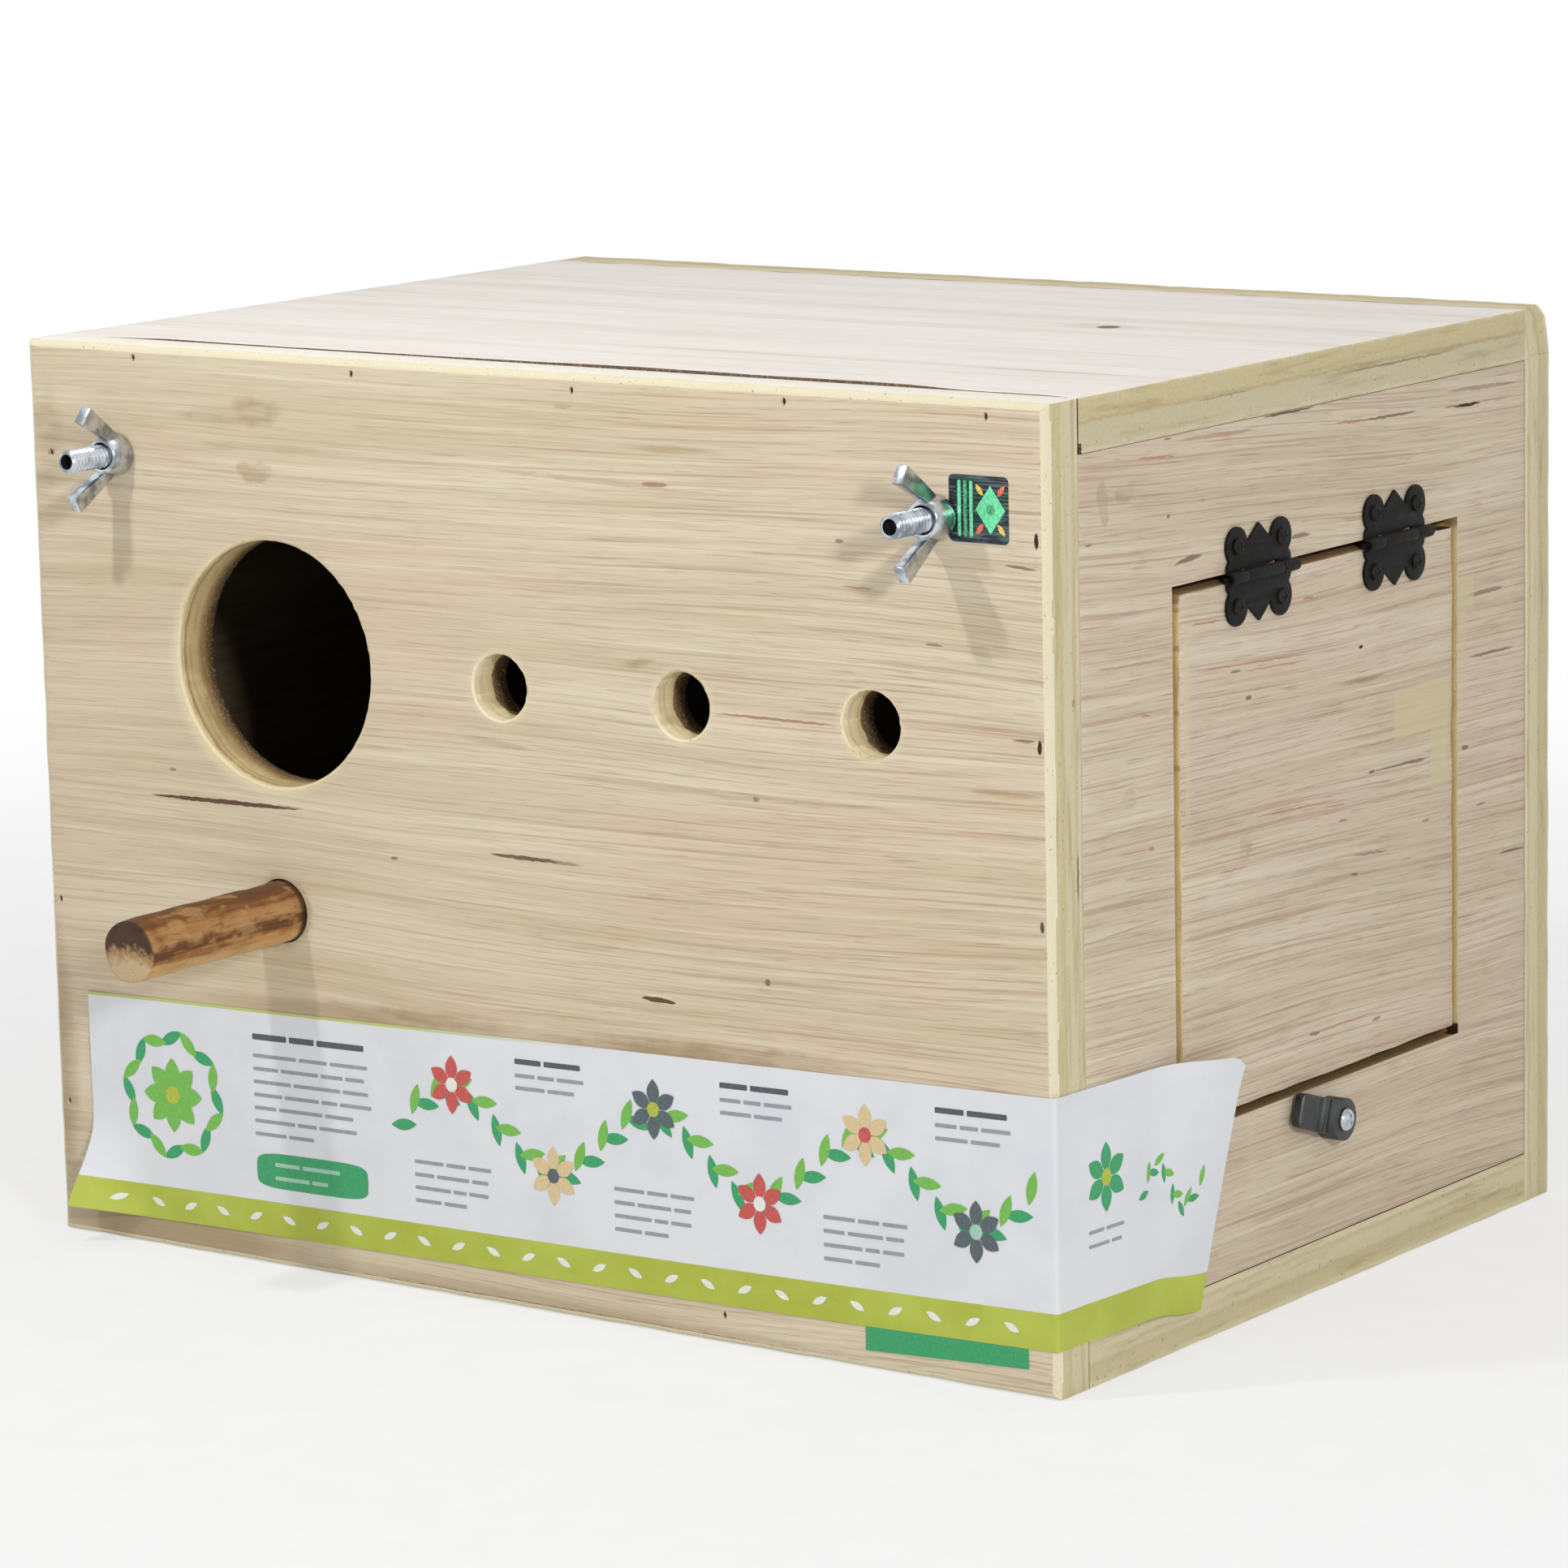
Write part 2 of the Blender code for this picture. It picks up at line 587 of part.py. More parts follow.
def make_hinges():
    """Two butterfly hinges with their pins and screws; gives the pieces that the door carries."""
    middle = MIDDLE_KNUCKLE / 2
    outer = middle + KNUCKLE_GAP
    end = BARREL_LENGTH / 2
    frame_spans = [(-end, -outer), (outer, end)]
    door_spans = [(-middle, middle)]
    moving = []
    leaves = {}
    for hinge, along in (("front", -1), ("rear", 1)):
        y = HINGE_MIDDLE + along * HINGE_SPACING / 2
        leaves[hinge, "frame"] = make_leaf(f"hinge_{hinge}_frame_leaf", y, 1, frame_spans, door_spans)
        leaves[hinge, "door"] = make_leaf(f"hinge_{hinge}_door_leaf", y, -1, door_spans, frame_spans)
        moving.append(leaves[hinge, "door"])
        length = BARREL_LENGTH - 2 * PIN_RECESS
        rod(f"hinge_{hinge}_pin", PIN_RADIUS, length, (HINGE_X, y, HINGE_Z), FACING_FRONT,
            SMALL_SIDES, "black_iron")
    for hinge, leaf, side, y, z in hinge_screw_places():
        hole_name = f"hole_{hinge}_{leaf}_{side}"
        hole = rod(hole_name, PILOT_RADIUS, OVERRUN, (LEAF_FACE, y, z), FACING_RIGHT, PILOT_SIDES)
        combine(leaves[hinge, leaf], "DIFFERENCE", [hole])
        name = f"screw_{hinge}_{leaf}_{side}"
        screw = turned_screw(name, SCREW_HEAD_RADIUS, SCREW_HEAD_HEIGHT, SCREW_SHANK_RADIUS,
                             SCREW_LENGTH, "black_iron")
        seat = (LEAF_FACE + SCREW_SEAT, y, z)
        place(screw, seat, FACING_RIGHT)
        combine(screw, "DIFFERENCE", cross_slots(name, SLOT_LENGTH, SLOT_WIDTH, SCREW_HEAD_HEIGHT, seat))
        if leaf == "door":
            moving.append(screw)
    return moving


def button_side_outline():
    """Side view of the turn button: boss, ridge and raised blade, as (out, height)."""
    half_ridge = math.acos(1 - RIDGE_RISE / RIDGE_RADIUS)
    ridge_centre = (RIDGE_OUT, BLADE_TOP + RIDGE_RISE - RIDGE_RADIUS)
    edge = BLADE_CORNER / 3
    points = [(-BOSS_RADIUS, SEAM), (BOSS_RADIUS, SEAM), (BOSS_RADIUS + edge, BLADE_LIFT),
              (BLADE_REACH, BLADE_LIFT), (BLADE_REACH, BLADE_TOP - edge), (BLADE_REACH - edge, BLADE_TOP)]
    points += arc(ridge_centre, RIDGE_RADIUS, math.pi / 2 - half_ridge, math.pi / 2 + half_ridge, 8)
    points += [(BOSS_RADIUS, BLADE_TOP), (BOSS_RADIUS - edge, BOSS_HEIGHT), (-BOSS_RADIUS, BOSS_HEIGHT)]
    return points


def button_plan_outline():
    """Plan of the turn button: round boss and a blade with rounded corners."""
    half = BLADE_WIDTH / 2
    root = math.asin(half / BOSS_RADIUS)
    end = BLADE_REACH - BLADE_CORNER
    points = arc((0, 0), BOSS_RADIUS, root, 2 * math.pi - root, 20)
    points += arc((end, BLADE_CORNER - half), BLADE_CORNER, -math.pi / 2, 0, 4)
    points += arc((end, half - BLADE_CORNER), BLADE_CORNER, 0, math.pi / 2, 4)
    return points


def make_turn_button():
    """Turn button and its screw, under the door."""
    pivot = (HALF_WIDTH, BUTTON_Y, BUTTON_Z)
    facing = FACING_RIGHT @ Matrix.Rotation(math.pi - BUTTON_REST_TILT, 3, "Z")
    side_facing = facing @ Matrix.Rotation(math.pi / 2, 3, "X")
    button = plate("turn_button", button_side_outline(), 2 * BLADE_WIDTH, "black_plastic")
    place(button, pivot, side_facing)
    plan = plate("turn_button_plan", button_plan_outline(), 4 * BOSS_HEIGHT)
    place(plan, pivot, facing)
    combine(button, "INTERSECT", [plan])
    shank_room = BUTTON_SCREW_SHANK_RADIUS + SCREW_PLAY
    bore = rod("turn_button_bore", shank_room, 4 * BOSS_HEIGHT, pivot, facing, SMALL_SIDES)
    combine(button, "DIFFERENCE", [bore])
    seat = (HALF_WIDTH + BOSS_HEIGHT + SCREW_SEAT, BUTTON_Y, BUTTON_Z)
    length = BOSS_HEIGHT + SCREW_SEAT + BUTTON_SCREW_GRIP
    screw = turned_screw("turn_button_screw", BUTTON_SCREW_HEAD_RADIUS, BUTTON_SCREW_HEAD_HEIGHT,
                         BUTTON_SCREW_SHANK_RADIUS, length, "zinc")
    place(screw, seat, FACING_RIGHT)
    combine(screw, "DIFFERENCE", cross_slots("turn_button_screw", BUTTON_SCREW_SLOT_LENGTH,
                                             BUTTON_SCREW_SLOT_WIDTH, BUTTON_SCREW_HEAD_HEIGHT, seat))
    carry(joint_empty("turn_button_axis", pivot), [button])


def main():
    """Build the whole box."""
    start_scene()
    make_front()
    make_carcass()
    make_right_side()
    make_perch()
    make_hanging_hardware()
    moving = [make_door()] + make_hinges()
    carry(joint_empty("door_axis", (HINGE_X, DOOR_OPENING_SHIFT, HINGE_Z)), moving)
    make_turn_button()


main()
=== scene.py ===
"""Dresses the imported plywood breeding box: boards, hardware, printed sheet, floor, light and camera."""

import logging
import math
from collections.abc import Callable, Iterator
from contextlib import contextmanager
from dataclasses import dataclass, field
from enum import Enum

import bmesh
import bpy
from mathutils import Euler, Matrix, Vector


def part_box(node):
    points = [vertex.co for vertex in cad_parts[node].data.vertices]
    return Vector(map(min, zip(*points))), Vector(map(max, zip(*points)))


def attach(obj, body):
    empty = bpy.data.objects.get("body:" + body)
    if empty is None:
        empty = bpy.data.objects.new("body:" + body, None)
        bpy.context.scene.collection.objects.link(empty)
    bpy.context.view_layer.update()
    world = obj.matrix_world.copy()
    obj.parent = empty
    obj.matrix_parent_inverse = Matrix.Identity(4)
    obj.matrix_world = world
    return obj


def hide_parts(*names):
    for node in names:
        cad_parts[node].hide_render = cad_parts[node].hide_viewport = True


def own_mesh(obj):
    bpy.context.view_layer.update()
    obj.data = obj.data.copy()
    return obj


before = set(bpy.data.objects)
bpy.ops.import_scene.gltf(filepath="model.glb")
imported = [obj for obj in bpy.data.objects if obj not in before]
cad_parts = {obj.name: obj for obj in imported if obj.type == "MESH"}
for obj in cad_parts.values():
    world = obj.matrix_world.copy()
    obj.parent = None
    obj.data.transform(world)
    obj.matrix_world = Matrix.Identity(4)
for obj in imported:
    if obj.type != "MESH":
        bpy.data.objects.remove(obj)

LOG = logging.getLogger("breeding_box")
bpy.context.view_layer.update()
MM = 0.001

# The box over its boards, in millimetres from the middle of its foot
HALF_WIDTH = 152.4
HALF_DEPTH = 114.3
HEIGHT = 228.6

Colour = tuple[int, int, int]
Socket = bpy.types.NodeSocket
Piece = bpy.types.Object
Material = bpy.types.Material


# Modelling by hand


def mm(x: float, y: float, z: float) -> Vector:
    """A point given in millimetres, in metres."""
    return Vector((x, y, z)) * MM


def let_go() -> None:
    """Deselect everything, so that an operator acts on one piece alone."""
    bpy.ops.object.select_all(action="DESELECT")
    bpy.context.view_layer.objects.active = None


def take(*pieces: Piece) -> Piece:
    """Select these pieces and nothing else.

    Args:
        pieces: The pieces, the first of which becomes the active one.

    Returns:
        The first piece.
    """
    let_go()
    for piece in pieces:
        piece.select_set(True)
    bpy.context.view_layer.objects.active = pieces[0]
    return pieces[0]


def settle(piece: Piece) -> Piece:
    """Put a piece's place, turn and scale into its mesh.

    Args:
        piece: The piece whose object is to stand at the origin.

    Returns:
        The same piece.
    """
    take(piece)
    bpy.ops.object.transform_apply(location=True, rotation=True, scale=True)
    return piece


@contextmanager
def editing(piece: Piece, mode: str = "VERT") -> Iterator[bmesh.types.BMesh]:
    """Edit mode on one piece, with nothing selected at first.

    Args:
        piece: The piece to edit.
        mode: VERT, EDGE or FACE.

    Yields:
        The mesh being edited.
    """
    take(piece)
    bpy.ops.object.mode_set(mode="EDIT")
    bpy.ops.mesh.select_mode(type=mode)
    bpy.ops.mesh.select_all(action="DESELECT")
    yield bmesh.from_edit_mesh(piece.data)
    bpy.ops.object.mode_set(mode="OBJECT")


def pick_faces(piece: Piece, wanted: Callable[[Vector, Vector], bool]) -> None:
    """Select faces of the piece in edit mode.

    Args:
        piece: The piece in edit mode.
        wanted: Says of a face's middle and normal whether it is wanted.
    """
    mesh = bmesh.from_edit_mesh(piece.data)
    for face in mesh.faces:
        face.select_set(wanted(face.calc_center_median(), face.normal))
    bmesh.update_edit_mesh(piece.data)


def finish_with(piece: Piece, kind: str, **settings: object) -> Piece:
    """Add one modifier, set it and apply it.

    Args:
        piece: The piece to finish.
        kind: The modifier's type.
        settings: Its settings.

    Returns:
        The same piece.
    """
    modifier = piece.modifiers.new(kind.lower(), kind)
    for name, value in settings.items():
        setattr(modifier, name, value)
    take(piece)
    bpy.ops.object.modifier_apply(modifier=modifier.name)
    return piece


def join_or_cut(piece: Piece, tool: Piece, operation: str = "DIFFERENCE") -> Piece:
    """Cut one piece with a tool, or unite the two, and throw the tool away.

    Args:
        piece: The piece that stays.
        tool: The cutter or the added shape.
        operation: DIFFERENCE or UNION.

    Returns:
        The piece that stays.
    """
    finish_with(piece, "BOOLEAN", object=tool, operation=operation, solver="EXACT")
    bpy.data.objects.remove(tool, do_unlink=True)
    return piece


def drum(radius: float, start: Vector, end: Vector, sides: int = 48) -> Piece:
    """A cylinder from one point to another, with its place in its mesh.

    Args:
        radius: In metres.
        start: The middle of one end.
        end: The middle of the other end.
        sides: How many sides it has.

    Returns:
        The cylinder.
    """
    axis = end - start
    turn = axis.to_track_quat("Z", "Y").to_euler()
    let_go()
    bpy.ops.mesh.primitive_cylinder_add(
        vertices=sides, radius=radius, depth=axis.length, location=(start + end) / 2, rotation=turn
    )
    return settle(bpy.context.object)


def slab(low: Vector, high: Vector) -> Piece:
    """A block between two corners, with its place in its mesh."""
    let_go()
    bpy.ops.mesh.primitive_cube_add(size=1, location=(low + high) / 2)
    block = bpy.context.object
    block.scale = high - low
    return settle(block)


def shape(piece: Piece, move: Callable[[Vector], Vector]) -> Piece:
    """Move every point of a piece's mesh by a rule.

    Args:
        piece: The piece.
        move: Gives a point's new place from its old one.

    Returns:
        The same piece.
    """
    for vertex in piece.data.vertices:
        vertex.co = move(vertex.co)
    piece.data.update()
    return piece


def smooth(piece: Piece, degrees: float = 35) -> Piece:
    """Shade a piece smooth and keep its corners sharp."""
    take(piece)
    bpy.ops.object.shade_smooth_by_angle(angle=math.radians(degrees))
    return piece


def ramp_up(value: float, low: float, high: float) -> float:
    """A smooth step from 0 at low to 1 at high."""
    share = min(max((value - low) / (high - low), 0.0), 1.0)
    return share * share * (3 - 2 * share)


def refined_copy(node: str, edge: float, name: str) -> Piece:
    """A merged copy of a CAD node with rounded edges.

    Args:
        node: The CAD node.
        edge: The width of the rounding, in metres.
        name: The new piece's name.

    Returns:
        The copy.
    """
    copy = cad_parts[node].copy()
    copy.data = copy.data.copy()
    copy.data.materials.clear()
    copy.parent = None
    for key in list(copy.keys()):
        del copy[key]
    bpy.context.scene.collection.objects.link(copy)
    copy.name = name
    with editing(copy):
        bpy.ops.mesh.select_all(action="SELECT")
        bpy.ops.mesh.remove_doubles(threshold=0.000002)
        bpy.ops.mesh.dissolve_limited(angle_limit=math.radians(1.5))
    finish_with(
        copy, "BEVEL", width=edge, segments=2, limit_method="ANGLE", angle_limit=math.radians(38),
        use_clamp_overlap=True,
    )
    return smooth(copy)


def mount(
    piece: Piece, name: str, body: str, slot: str | None, finishes: list[Material], *nodes: str
) -> Piece:
    """Name a finished piece, dress it and hand it to its body.

    Args:
        piece: The finished piece.
        name: Its name.
        body: The CAD body that it rides on.
        slot: The record's material slot, or None where it has none for this finish; not used.
        finishes: Its materials, in the order of its mesh's material numbers.
        nodes: The CAD nodes that it stands for.

    Returns:
        The piece.
    """
    piece.name = name
    piece.data.name = name
    for finish in finishes:
        piece.data.materials.append(finish)
    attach(piece, body)
    if nodes:
        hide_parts(*nodes)
    LOG.info("%s rides on %s, %d faces", name, body, len(piece.data.polygons))
    return piece


def recast(node: str, edge: float, name: str, body: str, slot: str, finish: Material) -> None:
    """Mount a refined copy of a CAD node in that node's place.

    Args:
        node: The CAD node.
        edge: The width of the rounding, in metres.
        name: The new piece's name.
        body: The CAD body that it rides on.
        slot: The record's material slot.
        finish: Its material.
    """
    mount(refined_copy(node, edge, name), name, body, slot, [finish], node)


# Laying out nodes


def linear(colour: Colour) -> tuple[float, float, float, float]:
    """A colour written as on screen, 0 to 255, as the renderer's linear one."""
    parts = [c / 255 for c in colour]
    return (*[c / 12.92 if c <= 0.04045 else ((c + 0.055) / 1.055) ** 2.4 for c in parts], 1.0)


class Bench:
    """Lays out the nodes of one material."""

    def __init__(self, name: str) -> None:
        """Start a material with a Principled surface that reads Object coordinates."""
        self.material = bpy.data.materials.new(name)
        self.material.use_nodes = True
        self.tree = self.material.node_tree
        self.tree.nodes.clear()
        self.output = self.tree.nodes.new("ShaderNodeOutputMaterial")
        self.surface = self.tree.nodes.new("ShaderNodeBsdfPrincipled")
        self.tree.links.new(self.surface.outputs[0], self.output.inputs[0])
        coordinates = self.tree.nodes.new("ShaderNodeTexCoord")
        self.place = coordinates.outputs["Object"]
        self.flat = coordinates.outputs["UV"]

    def node(self, kind: str, inputs: dict[str | int, object], **settings: object) -> bpy.types.Node:
        """Add a node, set it and feed it.

        Args:
            kind: The node's type, without its ShaderNode part.
            inputs: What goes into its sockets, a value or another node's socket.
            settings: Its settings.

        Returns:
            The node.
        """
        node = self.tree.nodes.new("ShaderNode" + kind)
        for name, value in settings.items():
            setattr(node, name, value)
        for key, value in inputs.items():
            if isinstance(value, Socket):
                self.tree.links.new(value, node.inputs[key])
            else:
                node.inputs[key].default_value = value
        return node

    def stretched(self, scale: tuple[float, float, float], source: Socket | None = None) -> Socket:
        """Coordinates scaled per axis."""
        inputs = {"Vector": source or self.place, "Scale": scale}
        return self.node("Mapping", inputs, vector_type="POINT").outputs[0]

    def noise(self, where: Socket, detail: float = 2.0, rough: float = 0.5) -> Socket:
        """Noise from 0 to 1 at coordinates that are already scaled."""
        inputs = {"Vector": where, "Scale": 1.0, "Detail": detail, "Roughness": rough}
        return self.node("TexNoise", inputs).outputs[0]

    def even(self, scale: float, detail: float = 2.0, rough: float = 0.5) -> Socket:
        """Noise of one scale along every axis."""
        return self.noise(self.stretched((scale, scale, scale)), detail, rough)

    def span(
        self, value: Socket, low: float, high: float, to_low: float = 0.0, to_high: float = 1.0
    ) -> Socket:
        """A value's stretch from low to high, clamped and eased."""
        inputs = {"Value": value, "From Min": low, "From Max": high, "To Min": to_low, "To Max": to_high}
        return self.node("MapRange", inputs, interpolation_type="SMOOTHSTEP").outputs[0]

    def sum(self, how: str, a: Socket | float, b: Socket | float) -> Socket:
        """Two numbers brought together by one operation of the Math node."""
        return self.node("Math", {0: a, 1: b}, operation=how).outputs[0]

    def mix(self, share: Socket | float, under: Socket | tuple, over: Socket | tuple) -> Socket:
        """The upper colour laid over the lower one, by a share."""
        return self.node("Mix", {0: share, 6: under, 7: over}, data_type="RGBA", blend_type="MIX").outputs[2]

    def tinge(
        self, colour: Socket | tuple, noise: Socket, low: float, high: float, most: float, tone: Colour
    ) -> Socket:
        """Lay a tone over a colour where a noise is strong.

        Args:
            colour: The colour underneath.
            noise: The noise.
            low: Where the tone starts to show.
            high: Where it shows most.
            most: How much of it then shows.
            tone: The tone.

        Returns:
            The colour.
        """
        return self.mix(self.span(noise, low, high, 0.0, most), colour, linear(tone))

    def bands(self, value: Socket, stops: tuple[tuple[float, Colour], ...]) -> Socket:
        """A ramp of colours along a value.

        Args:
            value: From 0 to 1.
            stops: Places and colours along it.

        Returns:
            The colour.
        """
        node = self.node("ValToRGB", {0: value})
        ramp = node.color_ramp
        while len(ramp.elements) < len(stops):
            ramp.elements.new(0.5)
        for element, (at, colour) in zip(ramp.elements, sorted(stops)):
            element.position = at
        for element, (at, colour) in zip(ramp.elements, sorted(stops)):
            element.color = linear(colour)
        return node.outputs[0]

    def spot(self, centre: Vector, half: Vector, turn: tuple[float, float, float], source: Socket) -> Socket:
        """A soft ellipsoid, 1 at its middle and 0 at its rim."""
        inputs = {"Vector": source, "Location": centre, "Rotation": turn, "Scale": half}
        where = self.node("Mapping", inputs, vector_type="TEXTURE").outputs[0]
        return self.node("TexGradient", {0: where}, gradient_type="SPHERICAL").outputs[1]

    def patch(self, centre: Vector, half: Vector, turn: tuple[float, float, float], source: Socket) -> Socket:
        """A block, 1 at its middle and 0 at its faces."""
        inputs = {"Vector": source, "Location": centre, "Rotation": turn, "Scale": half}
        where = self.node("Mapping", inputs, vector_type="TEXTURE").outputs[0]
        off = self.node("VectorMath", {0: where}, operation="ABSOLUTE").outputs[0]
        x, y, z = self.node("SeparateXYZ", {0: off}).outputs
        widest = self.sum("MAXIMUM", self.sum("MAXIMUM", x, y), z)
        return self.sum("SUBTRACT", 1.0, widest)

    def wobble(self, scale: float, amount: float) -> Socket:
        """Object coordinates pushed about by noise, for ragged outlines."""
        where = self.stretched((scale, scale, scale))
        noise = self.node("TexNoise", {"Vector": where, "Scale": 1.0, "Detail": 3.0}).outputs[1]
        centred = self.node("VectorMath", {0: noise, 1: (0.5, 0.5, 0.5)}, operation="SUBTRACT").outputs[0]
        pushed = self.node("VectorMath", {0: centred, 3: amount}, operation="SCALE").outputs[0]
        return self.node("VectorMath", {0: self.place, 1: pushed}, operation="ADD").outputs[0]

    def finish(
        self, colour: Socket, rough: Socket | float, height: Socket, depth: float, **fixed: float
    ) -> Material:
        """Feed the surface and close the material.

        Args:
            colour: The surface's colour.
            rough: Its roughness.
            height: The relief, from 0 to 1.
            depth: How far the relief goes, in metres.
            fixed: Sockets of the surface that have one value all over.

        Returns:
            The material.
        """
        bump = self.node("Bump", {"Height": height, "Distance": depth, "Strength": 1.0}).outputs[0]
        for name, value in (("Base Color", colour), ("Roughness", rough), ("Normal", bump)):
            if isinstance(value, Socket):
                self.tree.links.new(value, self.surface.inputs[name])
            else:
                self.surface.inputs[name].default_value = value
        for name, value in fixed.items():
            self.surface.inputs[name.replace("_", " ")].default_value = value
        return self.material


# Wood


class Side(Enum):
    """The way a board's better face looks."""

    FRONT = (0, -1, 0)
    BACK = (0, 1, 0)
    LEFT = (-1, 0, 0)
    RIGHT = (1, 0, 0)
    TOP = (0, 0, 1)
    UNDER = (0, 0, -1)

    @property
    def way(self) -> Vector:
        """The outward direction."""
        return Vector(self.value)

    @property
    def thin(self) -> int:
        """The axis across the board's thickness."""
        return [abs(v) for v in self.value].index(1)

    @property
    def grain(self) -> int:
        """The axis that the grain runs along."""
        return 1 if self.thin == 0 else 0


class Tint(Enum):
    """Colours of the marks in the veneer."""

    STREAK = (96, 72, 52)
    RUSSET = (150, 98, 74)
    RED = (172, 106, 90)
    # stains, and painted shade for a few marks on the front
    STAIN = (160, 136, 98)
    # painted shade on the front's foot, down its lower left edge and above the sheet's top edge
    DUSK = (158, 136, 104)
    # pits and cracks, and painted shadow in gaps and corners
    PIT = (52, 38, 28)
    FILLER = (208, 196, 156)
    FUZZ = (232, 218, 182)


@dataclass(frozen=True)
class Mark:
    """One streak, stain, rim or patch of painted shade in a board's face, in millimetres on that face."""

    along: float
    up: float
    length: float
    height: float
    strength: float
    tint: Tint
    tilt: float = 0.0
    crisp: float = 2.2


def tinted(tint: Tint, *table: tuple[float, ...]) -> tuple[Mark, ...]:
    """Marks of one tint.

    Args:
        tint: Their colour.
        table: Each mark's along, up, length, height and strength, and then its tilt and crispness.

    Returns:
        The marks.
    """
    return tuple(Mark(*row[:5], tint, *row[5:]) for row in table)


def masks(bench: Bench, side: Side, level: float, marks: tuple[Mark, ...]) -> dict[Tint, Socket]:
    """Where each tint of mark lies on one face.

    Args:
        bench: The material's bench.
        side: The way that the face looks.
        level: Where the face lies, in millimetres.
        marks: The marks.

    Returns:
        One mask for each tint that is used.
    """
    found: dict[Tint, Socket] = {}
    ragged, cloudy, thin = bench.wobble(420, 0.0007), bench.wobble(170, 0.0050), side.thin
    rising = 2 if thin < 2 else 1
    for mark in marks:
        half, centre, turn = [0.0, 0.0, 0.0], [0.0, 0.0, 0.0], [0.0, 0.0, 0.0]
        half[thin], half[side.grain], half[rising] = 4.0, mark.length / 2, mark.height / 2
        centre[thin], centre[side.grain], centre[rising] = level, mark.along, mark.up
        turn[thin] = math.radians(mark.tilt) * (1 if thin == 0 else -1)
        where = cloudy if mark.tint is Tint.STAIN and mark.height > 5 else ragged
        form = bench.patch if mark.tint is Tint.FILLER else bench.spot
        spot = form(mm(*centre), mm(*half), tuple(turn), where)
        spot = bench.span(spot, 0.0, 1 / mark.crisp, 0.0, mark.strength)
        known = found.get(mark.tint)
        found[mark.tint] = spot if known is None else bench.sum("MAXIMUM", known, spot)
    return found


